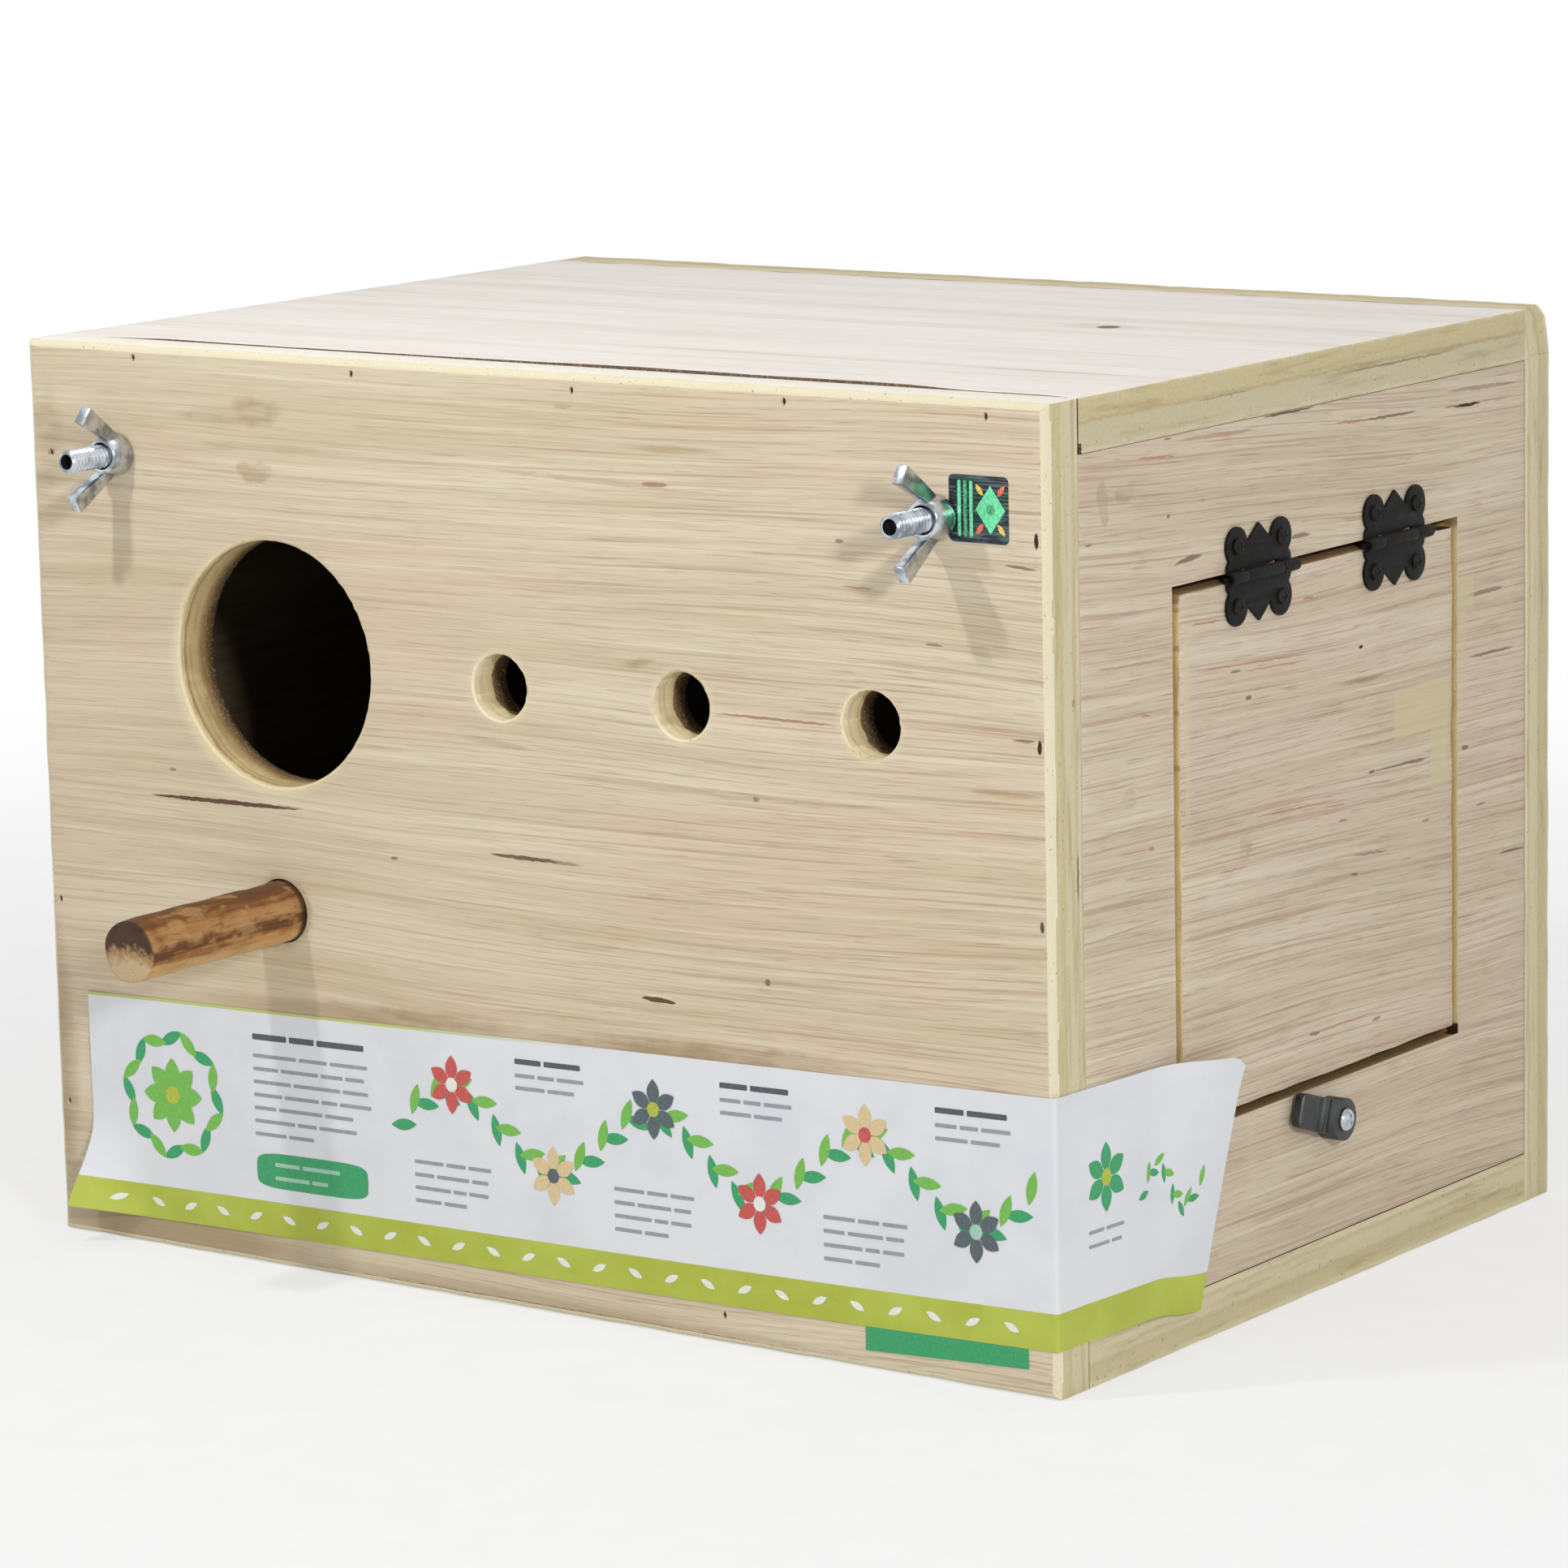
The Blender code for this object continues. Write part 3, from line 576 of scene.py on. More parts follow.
@dataclass(frozen=True)
class Veneer:
    """Face veneer: a cream ground with long grain lines, short dashes, red flecks and named marks."""

    name: str
    side: Side
    level: float = 0.0
    pale: Colour = (220, 208, 183)
    middle: Colour = (212, 198, 170)
    deep: Colour = (202, 186, 155)
    blush: Colour = (214, 194, 170)
    redness: float = 0.5
    lines: float = 1.0
    shift: float = 0.0
    marks: tuple[Mark, ...] = ()
    slope: float = 0.0
    busy: tuple[float, float] | None = None
    gloom: float = 1.0
    gloss: float = 0.3

    def tone(self, colour: Colour) -> tuple[float, float, float, float]:
        """A colour of the grain, darker on a face that lies in the dark."""
        return linear(tuple(round(part * self.gloom) for part in colour))

    def along(self, with_grain: float, across: float) -> tuple[float, float, float]:
        """Scales for a pattern drawn out along the grain."""
        scale = [across, across, across]
        scale[self.side.grain] = with_grain
        return tuple(scale)

    def make(self) -> Material:
        """Build the material."""
        bench = Bench(self.name)
        turn = [0.0, 0.0, 0.0]
        turn[self.side.thin] = math.radians(self.slope) * (1 if self.side.thin == 1 else -1)
        shift = (self.shift, self.shift / 2, self.shift)
        base = bench.node("Mapping", {"Vector": bench.place, "Location": shift, "Rotation": turn}).outputs[0]
        sway = bench.noise(bench.stretched(self.along(5, 16), base), 1.0)
        push = bench.sum("MULTIPLY", bench.sum("SUBTRACT", sway, 0.5), 0.012)
        bent = bench.node("VectorMath", {0: base, 1: bench.node("CombineXYZ", {
            "Z" if self.side.thin < 2 else "Y": push}).outputs[0]}).outputs[0]
        broad = bench.noise(bench.stretched(self.along(5, 90), bent), 3.0, 0.6)
        lines = bench.noise(bench.stretched(self.along(9, 860), bent), 2.0, 0.6)
        threads = bench.noise(bench.stretched(self.along(10, 1250), bent), 1.0)
        fine = bench.noise(bench.stretched(self.along(34, 2500), bent), 1.0)
        pores = bench.noise(bench.stretched(self.along(85, 3300), bent), 1.0)
        dashes = bench.noise(bench.stretched(self.along(24, 2100), bent), 2.0, 0.55)
        flecks = bench.noise(bench.stretched(self.along(48, 1250), bent), 2.0, 0.65)
        zones = bench.noise(bench.stretched(self.along(7, 26), base), 2.0, 0.6)
        colour = bench.bands(broad, ((0.30, self.deep), (0.48, self.middle), (0.66, self.pale)))
        colour = bench.tinge(colour, zones, 0.42, 0.68, 0.55, self.blush)
        lively = self.lines
        if self.busy is not None:
            grain = bench.node("SeparateXYZ", {0: bench.place}).outputs[self.side.grain]
            lively = bench.span(grain, self.busy[0], self.busy[1], 0.6 * self.lines, self.lines)
        for noise, low, high, most, tone in (
            (lines, 0.48, 0.66, 0.20, (180, 156, 124)), (threads, 0.57, 0.66, 0.46, (168, 136, 110)),
            (fine, 0.52, 0.72, 0.34, (176, 150, 120)), (dashes, 0.60, 0.69, 0.52, (156, 122, 98)),
            (pores, 0.61, 0.71, 0.42, (146, 116, 92)),
        ):
            share = bench.sum("MULTIPLY", bench.span(noise, low, high, 0.0, most), lively)
            colour = bench.mix(share, colour, self.tone(tone))
        colour = bench.mix(bench.span(lines, 0.32, 0.46, 0.30, 0.0), colour, self.tone((232, 222, 198)))
        red = bench.sum("MULTIPLY", bench.span(flecks, 0.655, 0.73), bench.span(zones, 0.36, 0.6, 0.25, 1.0))
        red = bench.sum("MULTIPLY", red, self.redness)
        colour = bench.mix(red, colour, self.tone((170, 122, 98)))
        height = bench.sum("SUBTRACT", fine, bench.sum("MULTIPLY", pores, 0.6))
        if self.marks:
            haze = bench.noise(bench.stretched(self.along(70, 420), bent), 3.0)
            veil = bench.span(haze, 0.36, 0.6, 0.35, 1.0)
            for tint, mask in masks(bench, self.side, self.level, self.marks).items():
                if tint is Tint.STAIN:
                    mask = bench.sum("MULTIPLY", mask, veil)
                colour = bench.mix(mask, colour, linear(tint.value))
                if tint in (Tint.STREAK, Tint.PIT):
                    height = bench.sum("SUBTRACT", height, bench.sum("MULTIPLY", mask, 1.5))
        rough = bench.span(broad, 0.3, 0.7, 0.72, 0.62)
        return bench.finish(colour, rough, height, 0.00007, Specular_IOR_Level=self.gloss)


@dataclass(frozen=True)
class PlyEdge:
    """A sawn edge: the plies and glue lines that a board shows across its thickness, with painted shade where
    a ply table or the ends darken it.
    """

    name: str
    axis: int
    outer: float
    inner: float
    plies: tuple[tuple[float, Colour], ...]
    dirt: float = 0.35
    speck: Colour = (150, 118, 74)
    ends: tuple[float, float] | None = None
    ragged: float = 0.0010
    marks: tuple[Mark, ...] = ()
    fuzz: Colour = (232, 219, 184)
    grit: Colour = (120, 92, 58)

    def make(self) -> Material:
        """Build the material."""
        bench = Bench(self.name)
        streaky = [34.0, 34.0, 34.0]
        streaky[self.axis] = 420.0
        apart = bench.node("SeparateXYZ", {0: bench.wobble(260, self.ragged)})
        share = bench.span(apart.outputs[self.axis], self.outer, self.inner)
        linear_share = bench.node("MapRange", {
            "Value": apart.outputs[self.axis], "From Min": self.outer, "From Max": self.inner}).outputs[0]
        colour = bench.bands(linear_share, self.plies)
        fibres = bench.even(1500, 3.0, 0.7)
        clouds = bench.noise(bench.stretched(tuple(streaky)), 3.0, 0.6)
        colour = bench.tinge(colour, fibres, 0.5, 0.7, 0.30, self.fuzz)
        colour = bench.tinge(colour, clouds, 0.5, 0.72, self.dirt, self.speck)
        pits = bench.even(900, 2.0, 0.6)
        colour = bench.tinge(colour, pits, 0.66, 0.74, 0.55, self.grit)
        # Near the sill and the head of the opening the walls are painted darker: painted shade in those
        # corners.
        if self.ends is not None:
            low = bench.span(apart.outputs[2], self.ends[0] + 0.0035, self.ends[0] + 0.0015)
            high = bench.span(apart.outputs[2], self.ends[1] - 0.0035, self.ends[1] - 0.0015)
            colour = bench.mix(bench.sum("MULTIPLY", bench.sum("MAXIMUM", low, high), 0.75), colour,
                               linear((128, 98, 66)))
        for tint, mask in masks(bench, Side.RIGHT, HALF_WIDTH, self.marks).items():
            colour = bench.mix(mask, colour, linear(tint.value))
        height = bench.sum("ADD", fibres, bench.sum("MULTIPLY", share, 0.2))
        return bench.finish(colour, 0.78, height, 0.00018, Specular_IOR_Level=0.2)


OUTSIDE_PLIES = (
    (0.00, (224, 213, 180)), (0.09, (220, 209, 173)), (0.14, (208, 196, 157)), (0.30, (206, 194, 153)),
    (0.42, (199, 187, 148)), (0.50, (212, 202, 167)), (0.74, (214, 204, 170)), (0.84, (203, 191, 152)),
    (0.91, (222, 212, 180)), (1.00, (214, 202, 168)),
)
LID_PLIES = (
    (0.00, (222, 211, 180)), (0.05, (204, 191, 150)), (0.38, (201, 188, 148)), (0.44, (186, 171, 132)),
    (0.50, (200, 190, 157)), (0.90, (201, 191, 160)), (0.96, (214, 202, 172)), (1.00, (206, 192, 162)),
)
# In the entrance and the vents the wall turns dark brown to near black going in: painted shade deep in the
# holes.
ENTRANCE_PLIES_AND_SHADE = (
    (0.00, (232, 217, 176)), (0.11, (229, 211, 163)), (0.17, (182, 148, 97)), (0.25, (216, 194, 144)),
    (0.54, (210, 187, 136)), (0.66, (176, 145, 98)), (0.82, (122, 96, 63)), (1.00, (60, 46, 32)),
)
VENT_PLIES_AND_SHADE = (
    (0.00, (238, 226, 192)), (0.36, (232, 217, 176)), (0.56, (222, 205, 158)), (0.60, (122, 98, 68)),
    (0.70, (96, 78, 56)), (0.80, (76, 62, 44)), (1.00, (54, 43, 30)),
)
# The kerf's walls darken going in: painted shade in the narrow gap.
KERF_PLIES_AND_SHADE = (
    (0.00, (230, 214, 168)), (0.08, (212, 188, 132)), (0.20, (190, 160, 102)), (0.34, (214, 188, 128)),
    (0.60, (184, 154, 98)), (0.80, (140, 110, 70)), (1.00, (96, 72, 46)),
)
ARRIS_PLIES = (
    (0.00, (226, 216, 184)), (0.14, (230, 221, 192)), (0.22, (243, 237, 222)), (1.00, (246, 241, 229)),
)
# Glue line and painted shade along the lid's proud front edge and in its chip.
GLUE_AND_SHADE_PLIES = ((0.00, (104, 84, 68)), (0.50, (82, 64, 50)), (1.00, (96, 76, 60)))
EDGE_MARKS = (
    *tinted(Tint.STREAK, (-103.6, 120, 0.8, 13, 0.8, 0, 3), (-107, 60, 0.8, 16, 0.5, 0, 3),
        (40, 222, 60, 0.6, 0.5, 0, 3), (-40, 222.4, 26, 0.6, 0.35, 0, 3)),
    *tinted(Tint.STAIN, (-104.6, 160, 1.6, 2.4, 0.6)),
)
KERF_MARKS = (
    # The first pit is painted shadow in the lower rear corner of the door's opening.
    *tinted(Tint.PIT, (67.2, 51.4, 4.6, 4.4, 1, 0, 4), (61.8, 178.8, 8, 3, 1, 0, 3)),
    *tinted(Tint.RUSSET, (-60.2, 151, 1.4, 2.6, 0.45), (-59.8, 166, 1.2, 1.8, 0.5),
        (-60.4, 121, 1.2, 3, 0.35), (-60, 138, 1.4, 1.8, 0.5), (-60.3, 101, 1.2, 2, 0.35),
        (-60, 175, 1.6, 1.6, 0.5)),
)


class Skin(Enum):
    """The finishes that a board can show."""

    VENEER = 0
    EDGE = 1
    BACK = 2
    ARRIS = 3
    WALL = 4
    VENT = 5
    GLUE = 6


@dataclass(frozen=True)
class Bore:
    """A round hole through a board."""

    x: float
    z: float
    radius: float
    lip: float = 0.0009
    skin: Skin = Skin.WALL


@dataclass
class Board:
    """One plywood board, modelled over its CAD node."""

    node: str
    side: Side
    veneer: Veneer
    body: str = "carcass"
    edge: float = 0.0006
    arris: float = 0.0
    rear: float = 0.0
    plies: tuple[tuple[float, Colour], ...] = OUTSIDE_PLIES
    gloom: float = 1.0
    cell: float = 0.004
    wear: float = 0.0005
    bores: tuple[Bore, ...] = ()
    window: str | None = None
    window_gap: float = 0.0022
    pits: tuple[tuple[float, float], ...] = ()
    sawn: bool = False
    grow: float = 0.0
    low: Vector = field(init=False)
    high: Vector = field(init=False)

    def __post_init__(self) -> None:
        """Read the board's corners from its CAD node."""
        self.low, self.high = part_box(self.node)
        more = Vector((self.grow, self.grow, self.grow))
        more[self.side.thin] = 0
        self.low, self.high = self.low - more, self.high + more

    def face_level(self, outer: bool = True) -> float:
        """Where the outer or inner face lies on the axis across the board."""
        positive = self.side.way[self.side.thin] > 0
        return (self.high if positive == outer else self.low)[self.side.thin]

    def blank(self) -> Piece:
        """The plain board: a grid on the outer face, drawn back to the board's thickness."""
        size, middle, way = self.high - self.low, (self.high + self.low) / 2, self.side.way
        middle[self.side.thin] = self.face_level()
        let_go()
        turn = way.to_track_quat("Z", "Y").to_euler()
        in_plane = [size[i] for i in range(3) if i != self.side.thin]
        cells = [max(2, round(length / self.cell)) for length in in_plane]
        bpy.ops.mesh.primitive_grid_add(
            x_subdivisions=cells[0], y_subdivisions=cells[1], size=1, location=(0, 0, 0), rotation=turn
        )
        board = settle(bpy.context.object)
        scale = size.copy()
        scale[self.side.thin] = 1
        board.scale, board.location = scale, middle
        settle(board)
        with editing(board, "FACE"):
            bpy.ops.mesh.select_all(action="SELECT")
            back = tuple(-way * size[self.side.thin])
            bpy.ops.mesh.extrude_region_move(TRANSFORM_OT_translate={"value": back})
            bpy.ops.mesh.select_all(action="SELECT")
            bpy.ops.mesh.normals_make_consistent(inside=False)
        for outside, width in ((True, self.arris or self.edge), (False, self.rear)):
            if width:
                self.soften(board, outside, width, 6 if self.arris and outside else 2)
        return board

    def soften(self, board: Piece, outside: bool, width: float, segments: int) -> None:
        """Round the edges of the outer face, or all the others.

        Args:
            board: The board being modelled.
            outside: Whether the outer face's edges are meant.
            width: The width of the rounding.
            segments: How many flats it has.
        """
        level, thin = self.face_level(), self.side.thin
        with editing(board, "EDGE"):
            bpy.ops.mesh.edges_select_sharp(sharpness=math.radians(60))
            mesh = bmesh.from_edit_mesh(board.data)
            wanted = [
                edge.select and outside == all(abs(point.co[thin] - level) < 0.000001 for point in edge.verts)
                for edge in mesh.edges
            ]
            bpy.ops.mesh.select_all(action="DESELECT")
            mesh = bmesh.from_edit_mesh(board.data)
            for edge, chosen in zip(mesh.edges, wanted):
                if chosen:
                    edge.select_set(True)
            bmesh.update_edit_mesh(board.data)
            bpy.ops.mesh.bevel(offset=width, offset_type="OFFSET", segments=segments, affect="EDGES")

    def drill(self, board: Piece) -> None:
        """Cut the holes, each with a broken rim."""
        way, outer, inner = self.side.way, self.face_level(), self.face_level(False)
        for bore in self.bores:
            middle = Vector((bore.x, 0, bore.z))
            start, end = middle.copy(), middle.copy()
            start.y, end.y = outer + way.y * 0.004, inner - way.y * 0.004
            tool = drum(bore.radius, start, end, 128 if bore.radius > 0.02 else 88)
            with editing(tool):
                for step in range(7 if bore.lip else 0):
                    depth = bore.lip * step / 6
                    bpy.ops.mesh.select_all(action="SELECT")
                    bpy.ops.mesh.bisect(plane_co=(0, outer - way.y * depth, 0), plane_no=(0, 1, 0))

            def flare(point: Vector, bore: Bore = bore) -> Vector:
                """A point of the cutter, drawn out where the rim is rounded."""
                depth = max(0.0, (outer - point.y) * way.y)
                if depth >= bore.lip:
                    return point
                wide = bore.radius + bore.lip - math.sqrt(max(0.0, bore.lip**2 - (bore.lip - depth) ** 2))
                share = wide / bore.radius
                x = bore.x + (point.x - bore.x) * share
                z = bore.z + (point.z - bore.z) * share
                return Vector((x, point.y, z))

            join_or_cut(board, shape(tool, flare))

    def prick(self, board: Piece) -> None:
        """Sink the pits that the brads sit in."""
        way, outer, tool = self.side.way, self.face_level(), None
        for x, z in self.pits:
            place = mm(x, 0, z)
            start, end = place.copy(), place.copy()
            start.y, end.y = outer + way.y * 0.001, outer - way.y * 0.0009
            pit = drum(0.0008, start, end, 12)
            shape(pit, lambda p, c=place: Vector((c.x + (p.x - c.x) * 0.75, p.y, c.z + (p.z - c.z) * 1.25)))
            if tool is None:
                tool = pit
            else:
                take(tool, pit)
                bpy.ops.object.join()
        if tool is not None:
            join_or_cut(board, tool)

    def open_window(self, board: Piece) -> tuple[Vector, Vector] | None:
        """Saw the door's opening, a kerf wider than the door.

        Args:
            board: The board being modelled.

        Returns:
            The opening's corners, or None for a board with no door.
        """
        if self.window is None:
            return None
        low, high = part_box(self.window)
        gap = Vector((0.004, self.window_gap, self.window_gap))
        low, high = low - gap - Vector((0, 0.0008, 0)), high + gap
        join_or_cut(board, slab(low, high))
        return low, high

    def roughen(self, board: Piece) -> None:
        """Let the arrises waver a little, as sawn and sanded ones do, and fray the vents' rims."""
        group, fray = board.vertex_groups.new(name="arris"), board.vertex_groups.new(name="fray")
        reach, level = max(self.edge, self.arris) * 1.5, self.face_level()
        for vertex in board.data.vertices:
            near = [
                min(vertex.co[i] - self.low[i], self.high[i] - vertex.co[i]) for i in range(3)
            ]
            if sum(1 for gap in near if gap < reach) >= 2 and abs(vertex.co[self.side.thin] - level) < reach:
                group.add([vertex.index], 1.0, "REPLACE")
            for bore in self.bores:
                out = math.hypot(vertex.co.x - bore.x, vertex.co.z - bore.z) - bore.radius
                if bore.lip and -0.0001 < out < bore.lip * 1.1 and abs(vertex.co.y - level) < bore.lip:
                    fray.add([vertex.index], 1.0, "REPLACE")
        for name, scale, strength in (("arris", 0.011, self.wear), ("fray", 0.0018, self.wear * 1.2)):
            if not strength:
                continue
            clouds = bpy.data.textures.new(f"{self.node}_{name}", "CLOUDS")
            clouds.noise_scale, clouds.noise_depth = scale, 2
            finish_with(
                board, "DISPLACE", texture=clouds, texture_coords="LOCAL", vertex_group=name,
                strength=strength, mid_level=0.62, direction="NORMAL",
            )

    def skin_of(self, face: bpy.types.MeshPolygon, window: tuple[Vector, Vector] | None) -> Skin:
        """The finish of one face.

        Args:
            face: The face.
            window: The door's opening, if there is one.

        Returns:
            Its finish.
        """
        facing, middle, reach = face.normal.dot(self.side.way), face.center, 0.0012
        if -0.6 < facing < 0.97:
            for bore in self.bores:
                if math.hypot(middle.x - bore.x, middle.z - bore.z) < bore.radius + bore.lip + 0.0002:
                    return bore.skin
        if facing < -0.6:
            return Skin.BACK
        if self.arris and (facing < 0.97 and face.normal.z > 0.2 or 0.12 < facing < 0.97):
            return Skin.ARRIS
        if facing > 0.6:
            return Skin.VENEER
        # The lid's proud front edge and the faces of its chipped corner are painted dark: glue line and
        # painted shade in the gap and the notch.
        chipped = 0.1505 < middle.x < self.high.x - 0.0006 and middle.y < 0
        if self.side is Side.TOP and (face.normal.y < -0.6 or chipped):
            return Skin.GLUE
        if window is not None and all(
            window[0][i] - reach < middle[i] < window[1][i] + reach for i in (1, 2)
        ):
            return Skin.WALL
        return Skin.WALL if self.sawn else Skin.EDGE

    def finish_of(self, skin: Skin) -> Material:
        """Build one of the board's finishes."""
        outer, inner, axis = self.face_level(), self.face_level(False), self.side.thin
        name = f"{self.node}_{skin.name.lower()}"
        if skin is Skin.VENEER:
            return self.veneer.make()
        if skin is Skin.BACK:
            # The inner faces take darker tones, scaled by the board's gloom: painted shade inside the closed
            # box.
            tones = [
                tuple(round(part * self.gloom) for part in tone)
                for tone in ((168, 146, 112), (150, 126, 92), (124, 100, 70), (140, 108, 84))
            ]
            dark = 0.7 * self.gloom
            return Veneer(name, self.side, 0.0, *tones, 0.5, 0.5, self.veneer.shift + 0.7, gloom=dark).make()
        if skin is Skin.ARRIS:
            return PlyEdge(name, axis, outer, inner, ARRIS_PLIES, 0.05, fuzz=(244, 238, 222)).make()
        if skin is Skin.GLUE:
            return PlyEdge(name, axis, outer, inner, GLUE_AND_SHADE_PLIES, 0.3).make()
        if skin is Skin.VENT:
            return PlyEdge(name, axis, outer, inner, VENT_PLIES_AND_SHADE, 0.4, ragged=0.0026).make()
        if skin is Skin.EDGE:
            return PlyEdge(name, axis, outer, inner, self.plies, ragged=0.0016, marks=EDGE_MARKS).make()
        ends = (self.low.z, self.high.z) if self.sawn else None
        if self.window is not None:
            low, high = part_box(self.window)
            ends = (low.z - self.window_gap, high.z + self.window_gap)
        if ends is None:
            return PlyEdge(name, axis, outer, inner, ENTRANCE_PLIES_AND_SHADE, 0.5, ragged=0.0018).make()
        return PlyEdge(
            name, axis, outer, inner, KERF_PLIES_AND_SHADE, 0.5, ends=ends, ragged=0.0018, marks=KERF_MARKS,
            fuzz=(222, 204, 158), grit=(84, 58, 34),
        ).make()

    def dress(self, board: Piece, window: tuple[Vector, Vector] | None) -> list[Material]:
        """Give each face its finish's number.

        Args:
            board: The modelled board.
            window: The door's opening, if there is one.

        Returns:
            The finishes, in the order of their numbers.
        """
        skins = [self.skin_of(face, window) for face in board.data.polygons]
        used = sorted(set(skins), key=lambda skin: skin.value)
        for face, skin in zip(board.data.polygons, skins):
            face.material_index = used.index(skin)
        return [self.finish_of(skin) for skin in used]

    def model(self, extra: Callable[[Piece], None] | None = None) -> Piece:
        """Model, dress and mount the board.

        Args:
            extra: A last change of shape for this board alone.

        Returns:
            The board.
        """
        board = self.blank()
        self.drill(board)
        self.prick(board)
        window = self.open_window(board)
        self.roughen(board)
        if extra is not None:
            extra(board)
        finishes = self.dress(board, window)
        smooth(board, 30)
        return mount(board, f"{self.node}_board", self.body, "plywood", finishes, self.node)


def gape_front_edge(board: Piece) -> None:
    """Let the lid stand a hair proud along its front glue line, and chip its lower front corner."""
    low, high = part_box("top_panel")

    def move(point: Vector) -> Vector:
        """The lifted place of a point of the upper face's front."""
        share = ramp_up(point.x, -0.142, -0.110) * (1 - ramp_up(point.x, 0.146, 0.1524))
        share *= (1 - ramp_up(point.y - low.y, 0.0, 0.012)) if point.z > high.z - 0.002 else 0.0
        wave = 0.5 + 0.5 * math.sin(point.x * 61) * math.sin(point.x * 23 + 1)
        lift = 0.00032 + 0.00034 * ramp_up(point.x, -0.06, 0.05) + 0.00018 * wave
        lift *= 1 - 0.7 * ramp_up(point.x, 0.100, 0.128)
        return point + Vector((0, 0.5, 1)) * share * lift

    shape(board, move)
    join_or_cut(board, slab(mm(151.2, -102.2, 215.2), mm(153.4, -100.2, 218.2)))


def chip_corner(board: Piece) -> None:
    """Knock off the upper right corner of the back board in three flats."""
    low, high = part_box("back_panel")
    for inward, down, slope in ((0.0034, 0.0, 38), (0.0, 0.0046, 52), (0.0, 0.0125, 82)):
        corner = Vector((high.x - inward, 0, high.z - down))
        normal = Vector((math.sin(math.radians(slope)), 0, math.cos(math.radians(slope))))
        with editing(board):
            bpy.ops.mesh.select_all(action="SELECT")
            bpy.ops.mesh.bisect(plane_co=corner, plane_no=normal, use_fill=True, clear_outer=True)


FRONT_MARKS = (
    *tinted(Tint.STREAK, (-92.4, 116.6, 51, 1.2, 1, 0.7, 7), (1.8, 111.6, 23.3, 1.1, 0.9, 0, 4.5),
        (12.6, 111.5, 15.2, 1, 0.55, -1.1), (40.8, 81.3, 10.8, 1.3, 1, -1.1, 7),
        (-35.3, 227.9, 18, 1.4, 1, -1, 3.2), (145.1, 191.5, 9.9, 0.7, 0.7, -4.6, 3),
        (121.4, 172.2, 5.8, 0.7, 0.6, -1, 3), (95.7, 194.2, 2.7, 1, 0.6, 4.2, 3),
        (72.8, 89, 1.8, 2, 0.7, 6.3, 3), (70.5, 132.1, 2.3, 1.2, 0.6, 0, 3),
        (145.4, 152.3, 6.8, 0.7, 0.7, 0, 3), (-38.6, 107.7, 2.6, 1, 0.7, 2.2, 3),
        # The long streak at the foot darkens a thin line along the bottom edge.
        (-109.1, 123.3, 2.7, 1, 0.5, 4.2, 3), (0, 0.9, 320, 2.2, 0.9, 0, 3)),
    *tinted(Tint.STAIN, (-71.1, 117, 9.4, 1, 0.5, 0.6, 3), (-77.9, 214.6, 21, 9, 0.6, 1.5, 1.7),
        (-88, 212.9, 42, 5, 0.55, 2, 1.8), (-146.5, 205, 14, 36, 0.35, 0, 1.5),
        # The stain at -149, 42 is painted shade down the lower left edge.
        (-149, 42, 12, 90, 0.45, 0, 1.4), (-78.4, 199.7, 13.3, 6.8, 0.5, 8.7, 3),
        (-71.7, 205.8, 62, 2.4, 0.3, 0.6), (49.5, 212.3, 40.5, 3, 0.5, -0.4, 1.5),
        (22.8, 203.8, 76.6, 1.6, 0.4, -1.8), (36.8, 161.3, 13.6, 3.5, 0.5, 14, 1.4),
        (85.5, 132.4, 64.4, 2.3, 0.35, 1.2), (140, 139.7, 21.1, 1.7, 0.55, 0, 3),
        # The two long stains near 69 mm, along the sheet's top edge, are stain and painted shade.
        (48.4, 69.6, 136.3, 6, 0.75, 2.3, 1.2), (-32.4, 68.6, 96, 7, 0.6, 1.4, 1.2),
        (-151, 86.3, 2.1, 2.9, 0.6, 16.7, 3), (16.9, 220.8, 6.2, 1.5, 0.5, -0.9, 3),
        (-6.3, 138.8, 24.8, 2, 0.4, -3.7, 3), (20.9, 74.6, 83.1, 1, 0.3, 2.3),
        # The last stain is a ring of painted shade round the perch where it enters the board.
        (-75, 90.5, 21, 20, 0.5, 0, 7)),
    *tinted(Tint.RUSSET, (43.3, 204, 8.5, 1.4, 0.65, 1.3, 4), (-27.6, 227.7, 5, 1, 0.9, -1.1, 3),
        (-18.9, 227.4, 7.5, 0.9, 0.9, 1.5, 3), (-145.3, 200.6, 2.5, 1.8, 0.8, 4.6, 3),
        (76.5, 151.5, 39.3, 0.8, 0.75, 0, 3), (100.6, 183.9, 10.4, 0.6, 0.6, 0, 3)),
    *tinted(Tint.FUZZ, (40.8, 82.3, 9, 0.7, 0.6, 0, 4), (-4.5, 152.4, 21, 21, 0.7, 0, 3),
        (49.5, 152.4, 21, 21, 0.7, 0, 3), (103.5, 152.4, 21, 21, 0.7, 0, 3),
        (-76.5, 151.2, 66, 66, 0.6, 0, 9)),
    # Painted shade: a darker strip along the foot of the front, down its left edge and just above the sheet's
    # top edge.
    *tinted(Tint.DUSK, (-112, 4, 116, 18, 0.8, 0, 1.6), (0, 2, 250, 9, 0.5, 0, 1.2),
        (-151, 42, 12, 104, 0.5, 0, 1.3), (-60, 67, 150, 10, 0.5, 1.4, 1.1),
        (52, 69.6, 130, 8, 0.4, 1.4, 1.1)),
    *tinted(Tint.PIT, (149.4, 197.7, 1.3, 4.4, 1, 0, 3), (149.6, 151, 1.3, 4, 1, 0, 3),
        (149.6, 110, 1.3, 3.2, 0.9, 0, 3)),
)
